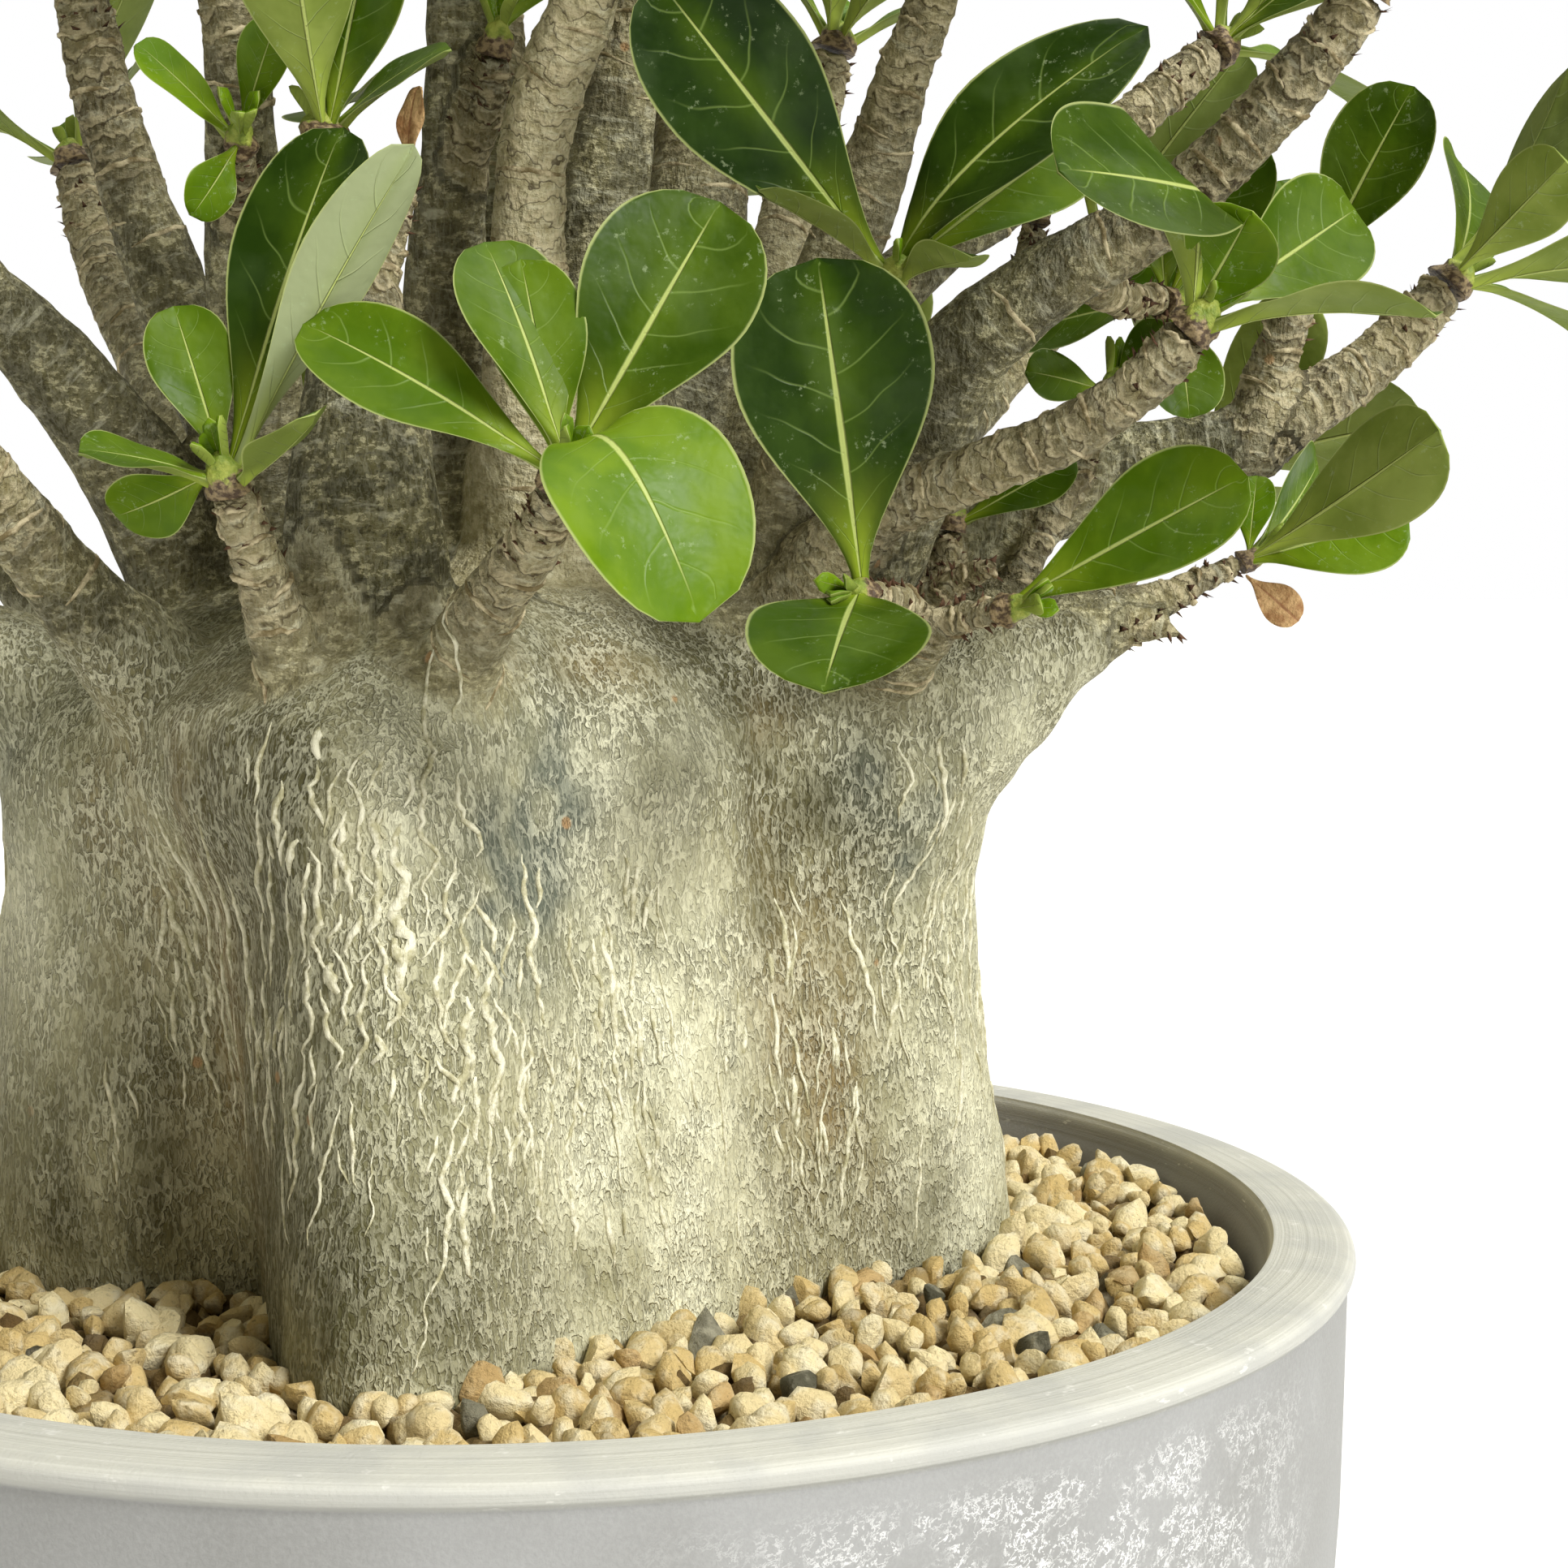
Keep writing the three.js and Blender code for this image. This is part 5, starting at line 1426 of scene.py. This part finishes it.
def stalk_remain(spot, normal, along, random):
    """A small dry remain of a leaf stalk, pointed."""
    side = along.cross(normal).normalized()
    wide = 0.45 + 0.4 * random()
    reach = 0.8 + 1.3 * random()
    way = normal * (0.5 + 0.5 * random())
    way += along * (0.3 + 0.7 * random())
    way += side * (random() - 0.5) * 0.6
    low = spot - normal * RIM_SINK
    high = spot + along * 0.5 + normal * 0.1
    points = [
        low - side * wide, low + side * wide, high + side * wide * 0.4, high - side * wide * 0.4,
        spot + way.normalized() * reach,
    ]
    return points, [(0, 1, 4), (1, 2, 4), (2, 3, 4), (3, 0, 4), (3, 2, 1, 0)], [2] * 5


def make_scars(bark, material):
    """Leaf scars: crescent rims that wind round the young wood, and stalk remains near the tips."""
    tree = surface_tree(bark)
    random = random_from(SCAR_SEED)
    pile = Pile("shade")

    def take(points, faces, shades):
        pile.add(points, faces, shade=shades)

    for name, rows in LIMBS.items():
        if name == "core":
            continue
        run = samples(rows, SCAR_STEPS)
        reach = min(run_length(run) * 0.85, LIMB_LOOKS.get(name, PLAIN_LIMB)[1] * 1.15)
        turn = random() * ONE_TURN
        left = FIRST_SCAR
        walked = 0.0
        k = SCAR_STEPS
        while left < reach:
            while k > 1 and walked < left:
                walked += (run[k][0] - run[k - 1][0]).length
                k -= 1
            at, along, radius = run[k]
            turn += SPIRAL_TURN
            path = scar_path(tree, at, along, radius, turn, random)
            for _ in range(5 if left < STALKS_REACH else 0):
                out = Quaternion(along, random() * ONE_TURN) @ along.orthogonal().normalized()
                found = beside_limb(tree, at, out, radius)
                if found:
                    take(*stalk_remain(*found, along, random))
            left += (1.5 + radius * 0.16) * (0.8 + 0.5 * random()) * (1 + left / 60)
            if len(path) < SCAR_SECTIONS:
                continue
            fresh = max(1 - left / 70, 0.35)
            take(*scar_rim(path, 0.42 + 0.3 * random(), (0.5 + 0.35 * random()) * fresh, random))
    finish_piece(pile.make("leaf_scars"), material, "bark")


# Leaves

def blade_share(t):
    """Half width of a blade along its length, as a share of its greatest."""
    if t < BROADEST:
        s = clamp((t - 0.02) / (BROADEST - 0.02))
        return 0.085 + 0.915 * (s * s * (3 - 2 * s)) ** 0.92
    return math.sqrt(max(1 - ((t - BROADEST) / (1 - BROADEST)) ** 2.4, 0))


def settled(offset, face, swing, tip, share):
    """The chord from base to tip and the blade's upper side, turned by one way of settling."""
    chord = Vector(offset)
    out = Vector(face).normalized()
    out = (out - chord * (out.dot(chord) / chord.length_squared)).normalized()
    tipped = Quaternion(chord.cross(out).normalized(), math.radians(tip))
    chord = Quaternion(out, math.radians(swing)) @ chord
    return tipped @ chord * share, tipped @ out


def arc_point(base, crest, end, t):
    return base * (1 - t) ** 2 + crest * (2 * t * (1 - t)) + end * t**2


def turned_over(point, base, chord, out, fold):
    """A blade's point after the outer part of the blade has turned over onto its underside."""
    if fold is None:
        return point
    reach, slant, turn = fold
    across = chord.cross(out).normalized()
    away = chord.normalized() * math.cos(math.radians(slant)) + across * math.sin(math.radians(slant))
    start = point - base
    beyond = start.dot(away) - reach
    if beyond <= 0:
        return point
    high = start.dot(out)
    angle = min(beyond / FOLD_RADIUS, math.radians(turn))
    straight = beyond - FOLD_RADIUS * angle
    ahead = away * math.cos(angle) - out * math.sin(angle)
    upper = out * math.cos(angle) + away * math.sin(angle)
    return (point - away * beyond - out * high + away * (FOLD_RADIUS * math.sin(angle))
            - out * (FOLD_RADIUS * (1 - math.cos(angle))) + ahead * straight + upper * high)


def skin_faces(columns, rows):
    """Faces of a blade's upper skin, under skin and rim."""
    faces = []
    under = columns * (rows + 1)
    for shift in (0, under):
        for row in range(rows):
            for c in range(columns - 1):
                a = shift + row * columns + c
                quad = (a, a + 1, a + columns + 1, a + columns)
                faces.append(quad[::-1] if shift else quad)
    for c in range(columns - 1):
        faces.append((c + 1, c, under + c, under + c + 1))
        top = rows * columns + c
        faces.append((top, top + 1, under + top + 1, under + top))
    for row in range(rows):
        for c in (0, columns - 1):
            a = row * columns + c
            quad = (a, a + columns, under + a + columns, under + a)
            faces.append(quad[::-1] if c else quad)
    return faces


def blade(base, chord, out, width, bend, lean, random, curl=1.0, across_steps=ACROSS, rows=ALONG, fold=None):
    """A blade's upper and under skins: points, faces, and its numbers across and along."""
    across = chord.cross(out).normalized()
    crest = base + chord * lean + out * (chord.length * math.tan(math.radians(bend) / 4))
    arc = (base, crest, base + chord)
    wave = random() * ONE_TURN
    ripple = (0.25 + 0.45 * random()) * curl
    twist = (random() - 0.5) * 0.16 * curl
    step = 0.001
    points, u_values, t_values = [], [], []
    for skin in (1, -1):
        for row in range(rows + 1):
            t = 1 - (1 - row / rows) ** 1.15
            place = arc_point(*arc, t)
            ahead = arc_point(*arc, min(t + step, 1)) - arc_point(*arc, max(t - step, 0))
            up = across.cross(ahead).normalized()
            half = max(blade_share(t) * width / 2, 0.02)
            turned = Quaternion(ahead.normalized(), twist * t)
            stem = max(1 - t / 0.22, 0)
            for u in across_steps:
                side = abs(u)
                thick = LEAF_THICKNESS / 2 * (0.42 + 0.58 * math.exp(-((u * half) / 1.3) ** 2))
                thick *= (1 + 1.1 * stem) * math.sqrt(max(1 - u * u, 0)) ** 0.8 * (0.5 if t > 0.97 else 1)
                lift = FOLD * half * side**1.4 - 0.5 * math.sin(math.pi * side) * half * 0.05
                ruffle = math.sin(wave + t * 9 + (2 if u > 0 else 0))
                lift += ripple * side**3 * ruffle * min(half / 5, 1)
                rib = math.exp(-((u * half) / 0.55) ** 2)
                lift -= 0.25 * rib if skin > 0 else 0.35 * rib
                spot = place + turned @ (across * (u * half) + up * (lift + skin * thick))
                points.append(turned_over(spot, base, chord, out, fold))
                u_values.append(u)
                t_values.append(t)
    return points, skin_faces(len(across_steps), rows), u_values, t_values


def leaf_root(at, along, radius, offset, share):
    """Where a leaf springs from its bud."""
    aside = offset - along * offset.dot(along)
    return at + along * (BUD_LENGTH * (0.2 + 0.4 * share)) + aside.normalized() * (radius * 0.35)


def spiral_leaves(along, count, seed):
    """The spiral rule's leaves round a bud."""
    random = random_from(seed)
    side = Vector((0, 0, 1)).cross(along)
    side = side.normalized() if side.length_squared >= 1e-4 else Vector((1, 0, 0))
    start = random() * 360
    leaves = []
    for i in range(count):
        spread = math.radians(34 + 34 * ((i + random()) / count))
        aside = Quaternion(along, math.radians(start + i * 137.5)) @ side
        way = along * math.cos(spread) + aside * math.sin(spread)
        length = 30 + 14 * random()
        width = length * (0.42 + 0.1 * random())
        leaves.append([*(way * length), *along, width, 10 + 26 * random()])
    return leaves


def which_way(corners, root, offset, face, fold):
    """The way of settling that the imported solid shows, or None where the leaf was left out."""
    for way in SETTLE:
        chord, out = settled(offset, face, *way)
        if chord.length < MIN_LEAF:
            continue
        tip = turned_over(root + chord, root, chord, out, fold)
        if min((corner - tip).length for corner in corners) < TIP_MATCH:
            return chord, out
    return None


def bud_shape(at, along, radius):
    """The green tip of a branch, ridged by the leaf bases on it: points, faces and heights."""
    side = along.orthogonal().normalized()
    other = along.cross(side)
    points, heights = [], []
    for k in range(BUD_RINGS):
        h = k / (BUD_RINGS - 1)
        reach = radius * (0.98 - 0.42 * h) * math.sqrt(max(1 - h**3.2, 0.0004))
        step = 1 + 0.07 * ((h * 3.5) % 1)
        for a in circle_angles(BUD_SIDES):
            r = reach * step * (1 + 0.12 * math.sin(3 * a + 9 * h))
            points.append(at + along * (BUD_LENGTH * h) + side * (r * math.cos(a))
                          + other * (r * math.sin(a)))
            heights.append(h)
    last = range((BUD_RINGS - 1) * BUD_SIDES, BUD_RINGS * BUD_SIDES)
    faces = ring_faces(BUD_RINGS, BUD_SIDES) + [tuple(range(BUD_SIDES))[::-1], tuple(last)]
    return points, faces, heights


def inside_box(points):
    """Keeps points in mm inside the part's own box."""
    low, high = (np.array(corner) / MM for corner in CAD_BOX)
    return np.clip(np.asarray(points), low + BOX_MARGIN, high - BOX_MARGIN)


def make_rosette(index, name, chosen, extra, materials):
    """All leaves and the bud of one branch tip, in one piece."""
    node = f"rosette_{name}"
    corners = [v.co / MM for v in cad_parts[node].data.vertices]
    at, along, radius = samples(LIMBS[name], 12)[-1]
    at = at + along * GAP
    random = random_from(ROSETTE_SEED + index)
    pile = Pile("across", "along", "age")
    looks = []

    def add_leaf(age, *form, across_steps=ACROSS, rows=ALONG, **more):
        """One leaf of the rosette, formed as blade() says."""
        points, faces, across, rise = blade(*form, random, across_steps=across_steps, rows=rows, **more)
        pile.add(points, faces, across=across, along=rise, age=[age] * len(points))
        upper = (len(across_steps) - 1) * rows
        looks.extend([UPPER_SKIN] * upper + [UNDER_SKIN] * (len(faces) - upper))

    bud, bud_faces, heights = bud_shape(at, along, radius)
    pile.add(bud, bud_faces, across=[0.5] * len(bud), along=heights, age=[0.2] * len(bud))
    looks.extend([BUD_SKIN] * len(bud_faces))
    leaves = chosen + spiral_leaves(along, extra, SPIRAL_SEED + index)
    known = AGES.get(name, [])
    for i, (x, y, z, fx, fy, fz, width, bend, *more) in enumerate(leaves):
        lean = more[0] if more else MID_LEAN
        fold = more[1] if len(more) > 1 else None
        offset = Vector((x, y, z))
        root = leaf_root(at, along, radius, offset, i / len(leaves))
        way = which_way(corners, root, offset, (fx, fy, fz), fold)
        if way is None:
            continue
        age = known[i] if i < len(known) else 0.25 + 0.6 * random()
        rows = FOLDED_ALONG if fold else ALONG
        add_leaf(age, root, *way, width, bend, lean, rows=rows, fold=fold)
    crown = at + along * (BUD_LENGTH * 0.6)
    for i in range(TINY_LEAVES):
        side = Quaternion(along, i * SPIRAL_TURN + random()) @ along.orthogonal().normalized()
        chord = along * (4.5 + 3 * random()) + side * (1.6 + 1.6 * random())
        if (crown + chord).z * MM > CAD_BOX[1][2]:
            continue
        add_leaf(0.0, crown, chord, -side, 2.6 + random(), TINY_BEND, MID_LEAN, curl=0.2,
                 across_steps=TINY_ACROSS, rows=TINY_ALONG)
    pile.points = inside_box(pile.points)
    obj = pile.make(f"leaves_{name}")
    finish_piece(obj, materials, "leaf", node)
    obj.data.polygons.foreach_set("material_index", looks)
    obj.data.set_sharp_from_angle(angle=math.radians(LEAF_EDGE))


def make_dry_leaf(name, base, offset, face, width, bend, material):
    """A curled withered leaf that still hangs on."""
    way = settled(offset, face, 0, 0, 1)
    random = random_from(len(name))
    points, faces, across, _ = blade(Vector(base), *way, width, bend, MID_LEAN, random, DRY_CURL)
    obj = mesh_object(f"{name}_fine", points, faces)
    set_attribute(obj, "across", across)
    finish_piece(obj, material, "dry_leaf", name)


# Gravel

def stone_shape(kind, random):
    """A broken irregular grain, as points and triangles: a ball with flattened sides and lumps."""
    ball = bmesh.new()
    bmesh.ops.create_icosphere(ball, subdivisions=2, radius=0.5)
    points = np.array([v.co[:] for v in ball.verts])
    faces = [tuple(v.index for v in f.verts) for f in ball.faces]
    ball.free()
    for _ in range(STONE_FLATS):
        way = np.array([random() - 0.5, random() - 0.5, random() - 0.5])
        way /= np.linalg.norm(way)
        over = np.maximum(points @ way - (0.22 + 0.16 * random()), 0)
        points = points - np.outer(over * 0.88, way)
    lumps = noise3(points, 1.6, kind + 5) * 0.13 + noise3(points, 4.2, kind + 40) * 0.09
    points = points * (1 + lumps)[:, None]
    stretch = np.array([1.1 + 0.75 * random(), 0.85 + 0.35 * random(), 0.72 + 0.25 * random()])
    return points * stretch, faces


def stone_places(random):
    """Where the grains lie: two loose layers on the mounded bed, with place, size and layer."""
    places = []
    for layer, (spacing, lift) in enumerate(STONE_LAYERS):
        row = spacing * 0.88
        count = int(GRAVEL_REACH / row) + 2
        for j, i in itertools.product(range(-count, count + 1), repeat=2):
            x = (i + (j % 2) / 2) * spacing + (random() - 0.5) * spacing * 0.75
            y = j * row + (random() - 0.5) * spacing * 0.75
            size = STONE_SIZE * (0.66 + 0.62 * random() ** 1.6)
            drop = random()
            r = math.hypot(x, y)
            if r > GRAVEL_REACH - size * 0.42:
                continue
            if r < caudex_radius(math.degrees(math.atan2(y, x)), SOIL_LEVEL) - 1.5:
                continue
            z = SOIL_LEVEL + MOUND * 0.6 * (1 - r / GRAVEL_REACH) + lift + (drop - 0.5) * 1.8
            places.append((x, y, z, size, layer))
    return places


def stone_kind(pick, y):
    """Which of the gravel's pieces a grain belongs to."""
    if pick < GREY_SHARE:
        return "grey"
    if pick < GREY_SHARE + BROWN_SHARE:
        return "brown"
    return "tan_front" if y < 0 else "tan_back"


def make_gravel(tan, brown, grey):
    """Loose grains over the whole bed, sorted into pieces by the kind of stone."""
    random = random_from(STONE_SEED)
    shapes = [stone_shape(kind, random) for kind in range(STONE_KINDS)]
    materials = {"tan_front": tan, "tan_back": tan, "brown": brown, "grey": grey}
    piles = {kind: Pile("tint") for kind in materials}
    for x, y, z, size, layer in stone_places(random):
        pile = piles[stone_kind(random(), y)]
        turn = Quaternion([random() - 0.5 for _ in range(4)]).normalized()
        shape, faces = shapes[int(random() * STONE_KINDS) % STONE_KINDS]
        # the lower layer's grains get a tint below 0, which their material turns into painted shade
        tint = random() if layer else -0.2 - 0.8 * random()
        spots = shape @ np.array(turn.to_matrix()).T * size + [x, y, z]
        pile.add(spots, faces, tint=[tint] * len(spots))
    for kind, pile in piles.items():
        obj = pile.make(f"gravel_{kind}")
        obj.data.set_sharp_from_angle(angle=math.radians(STONE_EDGE))
        finish_piece(obj, materials[kind], "gravel", "gravel")


# Stage

def make_stage():
    """A pale floor."""
    n = Nodes("studio_floor")
    color = n.mix(n.noise(n.place(), 0.004, 2), *FLOOR_WHITE)
    mesh = bpy.data.meshes.new("floor")
    corners = [(x * FLOOR_REACH, y * FLOOR_REACH, 0) for x, y in ((-1, -1), (1, -1), (1, 1), (-1, 1))]
    mesh.from_pydata(corners, [], [(0, 1, 2, 3)])
    mesh.materials.append(n.finish(color, 0.9))
    floor = linked("floor", mesh)


def soft_sun(name, heading, rise, strength, spread):
    """Even light from one direction: where it comes from in degrees, and how wide it is."""
    data = bpy.data.lights.new(name, "SUN")
    data.energy = strength
    data.angle = math.radians(spread)
    lamp = linked(name, data)
    lamp.location = heading_to(heading, rise)
    lamp.rotation_mode = "QUATERNION"
    lamp.rotation_quaternion = (-lamp.location).to_track_quat("-Z", "Y")


def make_lights():
    """A white studio that lights the plant softly from all round, and two broad lamps."""
    world = bpy.data.worlds.new("studio")
    world.use_nodes = True
    tree = world.node_tree
    seen = tree.nodes.new("ShaderNodeLightPath").outputs["Is Camera Ray"]
    level = tree.nodes.new("ShaderNodeMapRange")
    level.inputs["To Min"].default_value = ROOM_LIGHT
    tint = tree.nodes.new("ShaderNodeMix")
    tint.data_type = "RGBA"
    tint.inputs["A"].default_value = ROOM_TINT
    tint.inputs["B"].default_value = (1, 1, 1, 1)
    sky = tree.nodes["Background"]
    tree.links.new(seen, level.inputs["Value"])
    tree.links.new(seen, tint.inputs["Factor"])
    tree.links.new(tint.outputs["Result"], sky.inputs["Color"])
    tree.links.new(level.outputs["Result"], sky.inputs["Strength"])
    bpy.context.scene.world = world
    for lamp in LAMPS:
        soft_sun(*lamp)


def make_camera():
    """The camera that took the photograph."""
    data = bpy.data.cameras.new("camera")
    data.sensor_fit = "HORIZONTAL"
    data.sensor_width = SENSOR
    data.lens = SENSOR * FOCAL_PIXELS / FRAME_PIXELS
    data.clip_start = 0.01
    data.clip_end = 50
    camera = linked("camera", data)
    camera.location = Vector(CAMERA_AT) * MM
    camera.rotation_euler = (math.radians(90 + CAMERA_PITCH), 0, 0)
    bpy.context.scene.camera = camera


bpy.context.scene.view_settings.view_transform = "Standard"
make_stage()
make_lights()
make_camera()

make_pot(stoneware_material())
whole_bark = make_bark(bark_material())
make_ridges(whole_bark, ridge_material())
make_scars(whole_bark, scar_material())
bpy.data.objects.remove(whole_bark)

leaf_skins = [leaf_material("leaf_upper", True), leaf_material("leaf_under", False), bud_material()]
for number, (limb, chosen_leaves, more_leaves) in enumerate(ROSETTES):
    make_rosette(number, limb, chosen_leaves, more_leaves, leaf_skins)
withered = dry_leaf_material()
for row in DRY_LEAVES:
    make_dry_leaf(*row, withered)

make_gravel(*(stone_material(name, *tones) for name, tones in STONE_TONES.items()))
root_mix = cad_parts["root_mix"]
root_mix.data.materials.clear()
root_mix.data.materials.append(root_mix_material())
